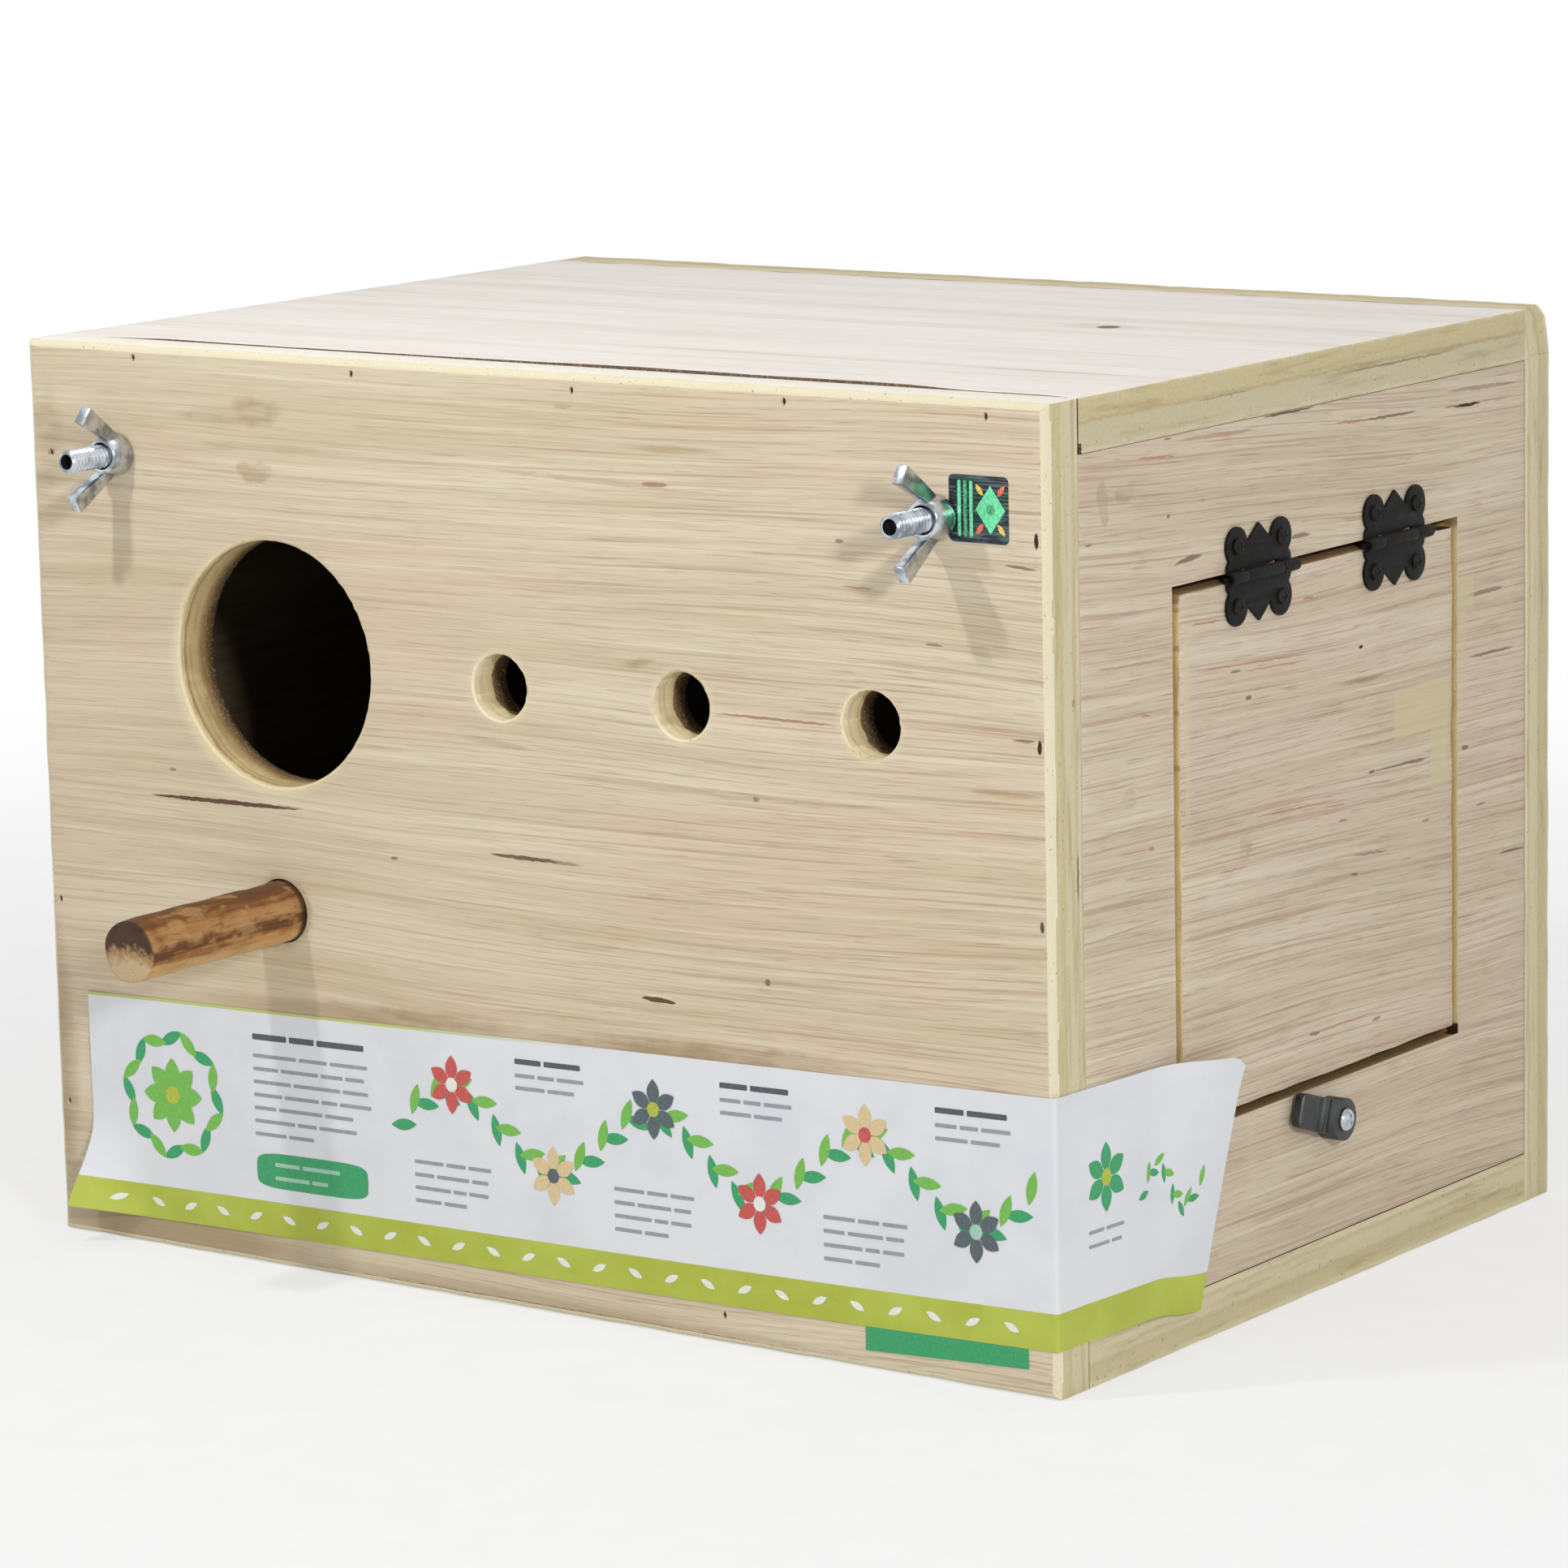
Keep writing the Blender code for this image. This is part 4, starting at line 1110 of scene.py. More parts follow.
RIGHT_MARKS = (
    # The first two are painted shadow in the gaps beside the hinges' knuckles.
    *tinted(Tint.PIT, (-26.25, 182.2, 22, 3.8, 1, 0, 6), (36.25, 182.2, 22, 3.8, 1, 0, 6),
        (72.5, 207.9, 15.2, 0.9, 1, -1.9, 3.4)),
    *tinted(Tint.STREAK, (-11, 215.4, 26, 0.6, 0.9, 0, 4), (-64.2, 215.2, 3.8, 0.5, 0.62, -1.5, 3),
        (-64.2, 197.3, 1.7, 1.2, 0.62, 0, 3), (-55.2, 186.4, 12.6, 1.5, 0.74, 2.3, 3),
        (-6.4, 185.5, 10.4, 1.3, 0.66, -1.1, 3), (-97.7, 194.8, 3.4, 0.5, 0.62, -1.7, 3),
        (35.6, 209.3, 28.5, 0.7, 0.78, -1.4, 3.4), (80.9, 211.5, 41.9, 1.2, 0.43, -2.1, 3),
        (81.7, 160.4, 19.4, 1.3, 0.58, 0, 5), (84.7, 144.7, 25.7, 0.9, 0.7, -0.9, 3),
        (71.5, 122.6, 4.1, 1.3, 0.7, -2.8, 3), (79.5, 107.1, 5.7, 0.6, 0.62, -1, 3),
        (95, 92.7, 14.5, 0.8, 0.7, -2.4, 3), (-79.8, 165.1, 34.2, 0.5, 0.39, -3.2, 3),
        (-81.4, 104.1, 30.9, 0.6, 0.31, 0, 3)),
    *tinted(Tint.RUSSET, (-43.2, 213.6, 39.5, 1.2, 0.43, -2.2, 2.6), (-60.1, 185.9, 4.2, 0.9, 0.62, 5.4, 3),
        (-72.9, 121.4, 3.1, 1, 0.62, -3.7, 3)),
    *tinted(Tint.RED, (-69.3, 211.5, 19.2, 0.6, 0.7, -4.2, 3), (17.3, 209.9, 18.8, 0.7, 0.7, -3.3, 3),
        (65.3, 208.3, 8.7, 0.7, 0.7, -2, 3), (-74.6, 152.6, 5.5, 0.5, 0.7, -3.1, 3),
        (-80.3, 121.8, 15.8, 0.5, 0.55, -3.6, 3)),
    *tinted(Tint.STAIN, (-91.2, 203.5, 5.3, 14.3, 0.38, 0, 3), (-82.4, 204.8, 8.1, 5.9, 0.5, -4.2, 2.6),
        (-49.7, 199.2, 3.5, 0.9, 0.6, -4.9, 3), (48, 216.1, 35, 1.2, 0.3, -1.6, 3),
        (-82.1, 134, 6.2, 5.6, 0.35, 0, 3)),
    *tinted(Tint.FILLER, (71.6, 161.2, 10.5, 9.7, 0.55, 0, 3), (70.3, 147.4, 4.8, 28.4, 0.35, 0, 3)),
)
DOOR_MARKS = (
    *tinted(Tint.RED, (-26.1, 158.2, 57.3, 0.5, 0.66, -3.4, 3), (-17.8, 156.1, 36.6, 0.5, 0.57, -2.8, 3),
        (-9, 120.4, 42.4, 0.6, 0.61, -3, 3), (-37.6, 110.4, 15.1, 0.6, 0.66, -2.3, 3),
        (13.4, 64.1, 35.2, 0.6, 0.57, 0, 3), (-48.5, 170.5, 15.5, 0.6, 0.7, -3, 3),
        (-2.9, 170.2, 5.9, 0.7, 0.66, -1.9, 3)),
    *tinted(Tint.STREAK, (-35.7, 157.2, 5.4, 0.8, 0.66, -2.1, 3), (-30, 150.2, 3.3, 1.1, 0.78, -1.7, 3),
        (23.6, 146.8, 17.6, 0.7, 0.41, -1.3), (39.9, 123.3, 31.7, 0.6, 0.7, -1.1, 3),
        (26.3, 123.6, 3.5, 1, 0.74, -3.3, 3), (47.8, 122.8, 8.3, 0.9, 0.66, -0.7, 3),
        (12.7, 113.9, 5.3, 0.6, 0.57, -1.1, 3), (52.2, 107.4, 4, 0.7, 0.57, -1.4, 3),
        (25.6, 103.7, 19.4, 0.7, 0.57, -4.7, 3), (17.9, 99.8, 3.8, 0.7, 0.66, -4.5, 3),
        (-1.1, 64, 6.1, 1, 0.66, -1.9, 3), (28, 62.1, 4.6, 1, 0.57, 3.7, 3)),
    *tinted(Tint.PIT, (21.4, 154.9, 2.3, 0.9, 1, -2.5, 4)),
    *tinted(Tint.STAIN, (21.7, 146.9, 26, 1.6, 0.75, -1.8, 3), (11.6, 140.7, 57.9, 1.2, 0.5, -1.4, 2.6),
        (-31.8, 114.8, 6.6, 7.7, 0.4, -2.6, 3), (-9.9, 105, 93, 1.4, 0.35, -3.8),
        (3.1, 99.8, 113.1, 1, 0.35, -1.9), (-24.9, 90, 62.3, 0.8, 0.35, -5.1)),
    *tinted(Tint.FILLER, (50.8, 135.5, 29.5, 12.5, 0.75, 0, 7), (59.4, 123, 10.3, 16.2, 0.6, 0, 5),
        (-57, 146.6, 2.1, 49.4, 0.55, 0, 5)),
)
TOP_MARKS = (
    *tinted(Tint.STREAK, (79.9, 23.3, 7.2, 7, 0.9, 0, 3), (120.1, -61.5, 48.7, 2, 0.24, -1.4, 3),
        (100.3, -25.2, 73.8, 1.6, 0.2, 1, 3)),
    *tinted(Tint.STAIN, (76, 24, 30, 16, 0.16), (20, -60, 90, 2.2, 0.14, 0, 3), (40, 60, 80, 3, 0.12, 0, 3)),
)


@dataclass
class Carcass:
    """The six glued boards of the box and the stop behind the door's sill."""

    entrance: Bore = Bore(-0.0750, 0.1524, 0.0305, 0.0006)
    vents: tuple[float, ...] = (-0.0045, 0.0495, 0.1035)
    vent_radius: float = 0.0080
    perch: Bore = Bore(-0.0750, 0.0909, 0.00805, 0.0)
    bolt_x: float = 0.1230
    bolt_z: float = 0.2016
    brads: tuple[tuple[float, float], ...] = (
        (-117.0, 225.6), (-47.3, 225.1), (19.6, 224.7), (80.8, 225.3), (136.3, 224.9), (58, 7.0),
        (-148.6, 34), (-145.5, 200.6), (-148.6, 86.5),
    )

    def front(self) -> None:
        """The board with the entrance, the vents, the perch's hole and the bolts' holes."""
        vents = tuple(Bore(x, self.entrance.z, self.vent_radius, 0.0005, Skin.VENT) for x in self.vents)
        bolts = tuple(Bore(side * self.bolt_x, self.bolt_z, 0.0034, 0.0) for side in (-1, 1))
        veneer = Veneer(
            "front_veneer", Side.FRONT, -HALF_DEPTH, redness=0.3, lines=0.9, marks=FRONT_MARKS, slope=0.5,
            busy=(-0.06, 0.09),
        )
        board = Board(
            "front_panel", Side.FRONT, veneer, arris=0.0022, rear=0.0002, gloom=0.66,
            bores=(self.entrance, *vents, self.perch, *bolts), pits=self.brads,
        )
        board.model()

    def drive_brads(self) -> None:
        """Dark heads of the brads at the bottom of their pits, all modelled alike."""
        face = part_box("front_panel")[0].y
        finish = Iron("brad_steel", (58, 50, 44)).make()
        for number, (x, z) in enumerate(self.brads, start=1):
            start, end = mm(x, 0, z), mm(x, 0, z)
            start.y, end.y = face + 0.0011, face + 0.0006
            head = drum(0.00055, start, end, 14)
            with editing(head, "FACE"):
                pick_faces(head, lambda middle, normal: normal.y < -0.9)
                bpy.ops.mesh.inset(thickness=0.00016, depth=0.00008)
            mount(smooth(head), f"brad_{number:02d}", "carcass", "black_iron", [finish])

    def others(self) -> None:
        """Back, lid, floor and left side."""
        rear = Veneer("rear_veneer", Side.BACK, HALF_DEPTH, redness=0.4, shift=0.31)
        Board("back_panel", Side.BACK, rear, rear=0.0002, gloom=0.66).model(chip_corner)
        # The lid's veneer is painted paler and whiter than the other faces: painted light from above.
        lid = Veneer(
            "lid_veneer", Side.TOP, HEIGHT, (244, 240, 234), (239, 234, 228), (229, 222, 214),
            (241, 232, 227), 0.1, 0.24, 0.53, TOP_MARKS, gloss=0.06,
        )
        Board(
            "top_panel", Side.TOP, lid, edge=0.0003, wear=0.0003, plies=LID_PLIES, grow=0.00012, gloom=0.66
        ).model(gape_front_edge)
        floor = Veneer("underside_veneer", Side.UNDER, 0.0, redness=0.4, shift=0.77)
        Board("bottom_panel", Side.UNDER, floor, edge=0.0003, grow=0.00012, gloom=0.66).model()
        left = Veneer("left_veneer", Side.LEFT, -HALF_WIDTH, redness=0.6, shift=1.13)
        Board("left_side_panel", Side.LEFT, left, edge=0.00008, wear=0.0, grow=0.00012, gloom=0.66).model()

    def right(self) -> None:
        """The side with the door's opening, and the stop behind it."""
        veneer = Veneer(
            "right_veneer", Side.RIGHT, HALF_WIDTH, (214, 201, 179), (207, 192, 169), (198, 182, 157),
            (210, 190, 172), 0.6, 1.0, 1.71, RIGHT_MARKS, -2.4,
        )
        Board(
            "right_side_panel", Side.RIGHT, veneer, edge=0.00008, wear=0.0, grow=0.00012, window="side_door"
        ).model()
        raw = Veneer(
            "stop_veneer", Side.RIGHT, 139.0, (190, 170, 130), (174, 150, 112), (150, 126, 90), shift=2.3
        )
        recast("door_stop", 0.0004, "door_stop_batten", "carcass", "plywood", raw.make())

    def build(self) -> None:
        """Build every board."""
        self.front()
        self.drive_brads()
        self.others()
        self.right()


@dataclass
class Door:
    """The sawn-out door."""

    def build(self) -> None:
        """Build the door's board."""
        veneer = Veneer(
            "door_veneer", Side.RIGHT, HALF_WIDTH, (216, 203, 182), (209, 194, 172), (200, 184, 160),
            (211, 191, 174), 0.6, 1.0, 2.9, DOOR_MARKS, -2.4,
        )
        board = Board(
            "side_door", Side.RIGHT, veneer, "door", edge=0.0007, wear=0.0007, sawn=True, gloom=1.16
        )
        board.model()


# Metal and plastic


@dataclass(frozen=True)
class Zinc:
    """Bright zinc plating with clouded patches, fine scratches and dull pits."""

    name: str
    bright: Colour = (206, 212, 220)
    dull: Colour = (138, 146, 156)

    def make(self) -> Material:
        """Build the material."""
        bench = Bench(self.name)
        clouds = bench.even(260, 3.0, 0.5)
        grit = bench.even(5200, 2.0)
        rubs = bench.noise(bench.stretched((900, 9000, 3000)), 2.0, 0.6)
        colour = bench.mix(bench.span(clouds, 0.38, 0.66), linear(self.bright), linear(self.dull))
        colour = bench.tinge(colour, rubs, 0.6, 0.72, 0.5, (84, 90, 98))
        rough = bench.span(clouds, 0.3, 0.7, 0.12, 0.24)
        rough = bench.sum("ADD", rough, bench.span(grit, 0.4, 0.8, 0.0, 0.08))
        return bench.finish(colour, rough, bench.sum("ADD", clouds, grit), 0.00002, Metallic=1.0)


@dataclass(frozen=True)
class Iron:
    """Black stove-enamelled iron, a little rubbed."""

    name: str
    ground: Colour = (17, 16, 15)
    rubbed: Colour = (38, 35, 32)

    def make(self) -> Material:
        """Build the material."""
        bench = Bench(self.name)
        clouds = bench.even(300, 3.0, 0.6)
        grain = bench.even(2600, 3.0, 0.65)
        colour = bench.tinge(linear(self.ground), clouds, 0.45, 0.72, 0.55, self.rubbed)
        colour = bench.tinge(colour, grain, 0.64, 0.76, 0.45, (84, 78, 69))
        rough = bench.span(clouds, 0.3, 0.7, 0.50, 0.66)
        return bench.finish(colour, rough, grain, 0.00012, Specular_IOR_Level=0.14)


@dataclass(frozen=True)
class Nylon:
    """Moulded black plastic with a faint satin texture."""

    name: str
    ground: Colour = (30, 33, 33)

    def make(self) -> Material:
        """Build the material."""
        bench = Bench(self.name)
        clouds = bench.even(240, 3.0, 0.6)
        grain = bench.even(3400, 2.0, 0.5)
        colour = bench.tinge(linear(self.ground), clouds, 0.42, 0.7, 0.6, (66, 69, 69))
        rough = bench.span(clouds, 0.3, 0.7, 0.34, 0.5)
        return bench.finish(colour, rough, grain, 0.00005, Specular_IOR_Level=0.5)


@dataclass(frozen=True)
class ScorchedDowel:
    """Scorched softwood: dark blotches above, pale wood below, a dark end and painted shade where it enters
    the board.
    """

    name: str
    axis_z: float
    tip: float
    painted_shade_start: float = -0.1166
    painted_shade_end: float = -0.1150

    def make(self) -> Material:
        """Build the material."""
        bench = Bench(self.name)
        apart = bench.node("SeparateXYZ", {0: bench.wobble(160, 0.004)})
        rise = bench.node("MapRange", {"Value": apart.outputs[2], "From Min": self.axis_z - 0.0078,
                                       "From Max": self.axis_z + 0.0078}).outputs[0]
        streaks = bench.noise(bench.stretched((520, 34, 520)), 3.0, 0.6)
        blots = bench.noise(bench.stretched((150, 75, 150)), 3.0, 0.65)
        fibres = bench.noise(bench.stretched((2600, 160, 2600)), 2.0)
        value = bench.sum("ADD", rise, bench.sum("MULTIPLY", bench.sum("SUBTRACT", streaks, 0.5), 0.45))
        colour = bench.bands(value, (
            (0.04, (204, 166, 112)), (0.24, (198, 154, 96)), (0.36, (150, 102, 54)), (0.44, (92, 56, 28)),
            (0.52, (112, 72, 38)), (0.62, (174, 134, 88)), (0.76, (166, 122, 74)), (0.88, (116, 74, 38)),
            (1.00, (98, 62, 32))))
        scorch = bench.sum("MULTIPLY", bench.span(blots, 0.52, 0.64), bench.span(rise, 0.3, 0.5))
        colour = bench.mix(bench.sum("MULTIPLY", scorch, 0.7), colour, linear((84, 52, 28)))
        pale = bench.sum("MULTIPLY", bench.span(blots, 0.46, 0.36), 0.6)
        colour = bench.mix(pale, colour, linear((182, 142, 94)))
        colour = bench.tinge(colour, fibres, 0.52, 0.72, 0.35, (104, 70, 40))
        along = bench.node("SeparateXYZ", {0: bench.place}).outputs[1]
        end = bench.span(along, self.tip + 0.0012, self.tip + 0.0004)
        burnt = bench.bands(value, ((0.30, (200, 176, 138)), (0.48, (168, 134, 94)), (0.60, (52, 33, 22))))
        colour = bench.mix(bench.sum("MULTIPLY", end, 0.92), colour, burnt)
        # Painted shade darkens the dowel where it enters the board.
        colour = bench.tinge(colour, along, self.painted_shade_start, self.painted_shade_end, 0.85, (50, 32, 20))
        return bench.finish(colour, 0.62, bench.sum("ADD", streaks, fibres), 0.0003, Specular_IOR_Level=0.3)


@dataclass
class Perch:
    """The dowel under the entrance."""

    node: str = "perch"
    sides: int = 72
    rim: float = 0.0009

    def build(self) -> None:
        """Model the dowel with a worn rim and an uneven skin."""
        low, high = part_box(self.node)
        middle = (low + high) / 2
        radius = (high.x - low.x) / 2
        root, tip = Vector((middle.x, high.y, middle.z)), Vector((middle.x, low.y, middle.z))
        dowel = drum(radius, root, tip, self.sides)
        with editing(dowel, "EDGE"):
            bpy.ops.mesh.edges_select_sharp(sharpness=math.radians(60))
            bpy.ops.mesh.bevel(offset=self.rim, segments=3, affect="EDGES")
            for step in range(1, 24):
                bpy.ops.mesh.select_all(action="SELECT")
                cut = low.y + (high.y - low.y) * step / 24
                bpy.ops.mesh.bisect(plane_co=(0, cut, 0), plane_no=(0, 1, 0))
        clouds = bpy.data.textures.new("dowel_skin", "CLOUDS")
        clouds.noise_scale, clouds.noise_depth = 0.009, 2
        finish_with(
            dowel, "DISPLACE", texture=clouds, texture_coords="LOCAL", strength=0.0007, mid_level=0.72
        )
        finish = ScorchedDowel("scorched_dowel", middle.z, low.y).make()
        mount(smooth(dowel, 40), "perch_dowel", "carcass", "perch_wood", [finish], self.node)


@dataclass
class HangingBolt:
    """One threaded stud with its cupped end, hexagon head and wing nut."""

    side: str
    pitch: float = 0.00125
    major: float = 0.0030
    minor: float = 0.00228
    cup: float = 0.0019
    cup_depth: float = 0.0022
    head: float = 0.0040
    chamfer: float = 0.0004
    tip_share: float = 0.86
    play: float = 0.00008
    steps: int = 28

    def thread(self, start: float, end: float) -> Piece:
        """The thread: one ridge swept round and along, trimmed at both ends and chamfered at its tip.

        Args:
            start: Where the shank leaves the head, along Y.
            end: Where the tip is, along Y.

        Returns:
            The closed shank, on the Y axis.
        """
        turns = math.ceil((start - end) / self.pitch) + 3
        mesh = bpy.data.meshes.new("ridge")
        half = self.pitch / 2
        crest = self.major - self.play
        profile = ((self.minor, 0.0), (crest, half * 0.85), (crest, half * 1.15), (self.minor, self.pitch))
        mesh.from_pydata([(x, 0, z) for x, z in profile], [(0, 1), (1, 2), (2, 3)], [])
        ridge = bpy.data.objects.new("ridge", mesh)
        bpy.context.scene.collection.objects.link(ridge)
        finish_with(
            ridge, "SCREW", axis="Z", angle=math.tau, screw_offset=self.pitch, iterations=turns,
            steps=self.steps, render_steps=self.steps, use_merge_vertices=True, merge_threshold=0.000004,
        )
        ridge.rotation_euler = (math.radians(90), 0, 0)
        ridge.location = (0, start + 1.5 * self.pitch, 0)
        settle(ridge)
        with editing(ridge, "VERT"):
            for place, way in ((start, 1), (end + self.chamfer, -1)):
                bpy.ops.mesh.select_all(action="SELECT")
                bpy.ops.mesh.remove_doubles(threshold=0.000004)
                bpy.ops.mesh.select_all(action="SELECT")
                bpy.ops.mesh.bisect(
                    plane_co=(0, place, 0), plane_no=(0, way, 0), use_fill=True, clear_outer=True,
                    threshold=0.000001,
                )
            bpy.ops.mesh.select_all(action="SELECT")
            bpy.ops.mesh.normals_make_consistent(inside=False)
        with editing(ridge, "FACE"):
            flat = end + self.chamfer
            pick_faces(ridge, lambda middle, normal: normal.y < -0.98 and abs(middle.y - flat) < 0.00002)
            bpy.ops.mesh.extrude_region_move(TRANSFORM_OT_translate={"value": (0, -self.chamfer, 0)})
            bpy.ops.transform.resize(value=(self.tip_share, 1, self.tip_share), center_override=(0, end, 0))
        return ridge

    def stud(self) -> None:
        """Model the bolt and mount it over its CAD node."""
        node = f"bolt_{self.side}"
        low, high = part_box(node)
        x, z = (low.x + high.x) / 2, (low.z + high.z) / 2
        shank = self.thread(high.y - self.head + 0.0005, low.y)
        mouth, floor = Vector((0, low.y - 0.001, 0)), Vector((0, low.y + self.cup_depth, 0))
        join_or_cut(shank, drum(self.cup, mouth, floor, 40))
        across = max((high.z - low.z) / 2, (high.x - low.x) / 2)
        nut = drum(across, Vector((0, high.y - self.head, 0)), Vector((0, high.y, 0)), 6)
        with editing(nut, "EDGE"):
            bpy.ops.mesh.edges_select_sharp(sharpness=math.radians(40))
            bpy.ops.mesh.bevel(offset=0.00035, segments=2, affect="EDGES")
        join_or_cut(shank, nut, "UNION")
        shape(shank, lambda p: p + Vector((x, 0, z)))
        # The hollow of the cupped end is painted dark: painted shade in the recess.
        dark = Iron("cup_shadow_" + self.side, (26, 28, 32), (56, 60, 66)).make()
        zinc = Zinc("zinc_stud_" + self.side).make()
        for face in shank.data.polygons:
            middle = face.center
            inside = math.hypot(middle.x - x, middle.z - z) < self.cup + 0.00005
            face.material_index = 1 if inside and low.y + 0.0003 < middle.y < low.y + 0.003 else 0
        name = f"threaded_bolt_{self.side}"
        mount(smooth(shank, 25), name, "carcass", "zinc_plated_steel", [zinc, dark], node)

    def wing_nut(self) -> None:
        """A softened copy of the cast wing nut."""
        node = f"wing_nut_{self.side}"
        zinc = Zinc("zinc_nut_" + self.side, (212, 218, 224), (142, 150, 158)).make()
        recast(node, 0.0002, f"cast_{node}", f"{self.side}_wing_nut", "zinc_plated_steel", zinc)

    def build(self) -> None:
        """Build the bolt and its nut."""
        self.stud()
        self.wing_nut()


@dataclass
class Hinges:
    """The two butterfly hinges with their pins and screws."""

    leaf_edge: float = 0.00012
    pin_edge: float = 0.0001
    screw_edge: float = 0.00006

    def build(self) -> None:
        """Soften each leaf, pin and screw, and paint them black."""
        leaf = Iron("black_leaf").make()
        dark = Iron("black_pin", (20, 19, 18), (46, 43, 39)).make()
        screw = Iron("black_screw", (24, 24, 23), (62, 59, 55)).make()
        for place in ("front", "rear"):
            for part, body in (("frame_leaf", "carcass"), ("door_leaf", "door")):
                node = f"hinge_{place}_{part}"
                recast(node, self.leaf_edge, f"{node}_plate", body, "black_iron", leaf)
            node = f"hinge_{place}_pin"
            recast(node, self.pin_edge, f"{node}_rod", "carcass", "black_iron", dark)
            for part, body in (("frame", "carcass"), ("door", "door")):
                for letter in ("a", "b"):
                    node = f"screw_{place}_{part}_{letter}"
                    recast(node, self.screw_edge, f"{node}_head", body, "black_iron", screw)


@dataclass
class TurnButton:
    """The moulded latch under the door and its screw."""

    def build(self) -> None:
        """Soften the button and its screw."""
        nylon = Nylon("black_nylon").make()
        recast("turn_button", 0.0004, "turn_button_moulding", "latch", "black_plastic", nylon)
        zinc = Zinc("zinc_fixing", (196, 200, 206), (140, 146, 154)).make()
        recast("turn_button_screw", 0.00012, "turn_button_fixing", "carcass", "zinc_plated_steel", zinc)


# Printed sheet and foil


class Ink(Enum):
    """Colours of the printing."""

    LIME = (176, 186, 72)
    LEAF = (118, 184, 82)
    GREEN = (62, 158, 104)
    GREY = (150, 154, 160)
    CHARCOAL = (84, 88, 94)
    CORAL = (196, 88, 84)
    SAND = (216, 192, 148)
    SLATE = (88, 100, 104)
    MINT = (160, 200, 178)
    WHITE = (226, 230, 220)
    GLOW = (96, 226, 150)
    EMBER = (236, 92, 58)
    AMBER = (240, 178, 70)


LAYER_STEP = 0.000012
LAYER_CAP = 12


class Outline(Enum):
    """Printed shapes, as the powers that bend a circle."""

    BAR = (0.12, 0.12)
    TILE = (0.4, 0.4)
    DISC = (1.0, 1.0)
    LEAF = (1.0, 2.0)
    STAR = (2.0, 2.0)


@dataclass(frozen=True)
class Print:
    """One printed shape, in millimetres on the flat sheet.

    Its layer is found from what lies under it, unless it has one of its own.
    """

    outline: Outline
    ink: Ink
    along: float
    up: float
    width: float
    height: float
    turn: float = 0.0
    layer: int | None = None

    @property
    def reach(self) -> tuple[float, float]:
        """The width and height of a box that holds the shape as it is turned."""
        wide = max(self.width, self.height)
        return (wide, wide) if self.turn else (self.width, self.height)


@dataclass(frozen=True)
class Paper:
    """Coated paper with a faint fibre, a lime band at the foot and a thin lime line at the head."""

    name: str
    ground: Colour = (224, 226, 230)
    band: float = 0.0086
    head: float = 0.0563
    lime: Colour = (172, 182, 62)

    def make(self) -> Material:
        """Build the material."""
        bench = Bench(self.name)
        up = bench.node("SeparateXYZ", {0: bench.flat}).outputs[1]
        clouds = bench.even(40, 3.0, 0.6)
        fibre = bench.even(1400, 3.0, 0.6)
        colour = bench.tinge(linear(self.ground), clouds, 0.4, 0.7, 0.6, (212, 216, 222))
        band = bench.mix(bench.span(clouds, 0.35, 0.7), linear(self.lime), linear((184, 196, 84)))
        foot = bench.span(up, self.band + 0.0001, self.band - 0.0001)
        head = bench.span(up, self.head - 0.0001, self.head + 0.0001)
        run = bench.node("SeparateXYZ", {0: bench.flat}).outputs[0]
        head = bench.sum("MULTIPLY", head, bench.span(run, -0.05, 0.03, 0.85, 0.0))
        colour = bench.mix(bench.sum("MAXIMUM", foot, head), colour, band)
        colour = bench.tinge(colour, fibre, 0.55, 0.75, 0.12, (190, 194, 200))
        rough = bench.span(clouds, 0.3, 0.7, 0.42, 0.52)
        return bench.finish(colour, rough, fibre, 0.00002, Specular_IOR_Level=0.35)


@dataclass(frozen=True)
class Printing:
    """Ink on coated paper, slightly mottled, or glinting on foil."""

    ink: Ink
    foil: bool = False

    def make(self) -> Material:
        """Build the material."""
        kind = "foil" if self.foil else "ink"
        bench = Bench(f"{kind}_{self.ink.name.lower()}")
        speck = bench.even(1800, 3.0, 0.6)
        away = tuple(min(255, c + (70 if self.foil else 22)) for c in self.ink.value)
        low, high = (0.4, 0.62) if self.foil else (0.5, 0.72)
        colour = bench.tinge(linear(self.ink.value), speck, low, high, 0.7, away)
        if self.foil:
            return bench.finish(colour, 0.32, speck, 0.00003, Metallic=0.45)
        return bench.finish(colour, 0.5, speck, 0.00001, Specular_IOR_Level=0.3)


@dataclass(frozen=True)
class Foil:
    """Dark embossed foil with fine slanting lines and clouds of green and violet."""

    name: str

    def make(self) -> Material:
        """Build the material."""
        bench = Bench(self.name)
        clouds = bench.even(160, 2.0, 0.5)
        colour = bench.bands(clouds, (
            (0.30, (34, 52, 58)), (0.45, (46, 74, 70)), (0.55, (40, 46, 58)), (0.70, (70, 58, 74))))
        turned = {"Vector": bench.place, "Rotation": (0.0, math.radians(18), 0.0), "Scale": (120, 120, 2400)}
        lines = bench.noise(bench.node("Mapping", turned).outputs[0], 1.0)
        colour = bench.tinge(colour, lines, 0.5, 0.62, 0.45, (128, 150, 150))
        return bench.finish(colour, bench.span(lines, 0.4, 0.6, 0.22, 0.4), lines, 0.00003, Metallic=0.6)


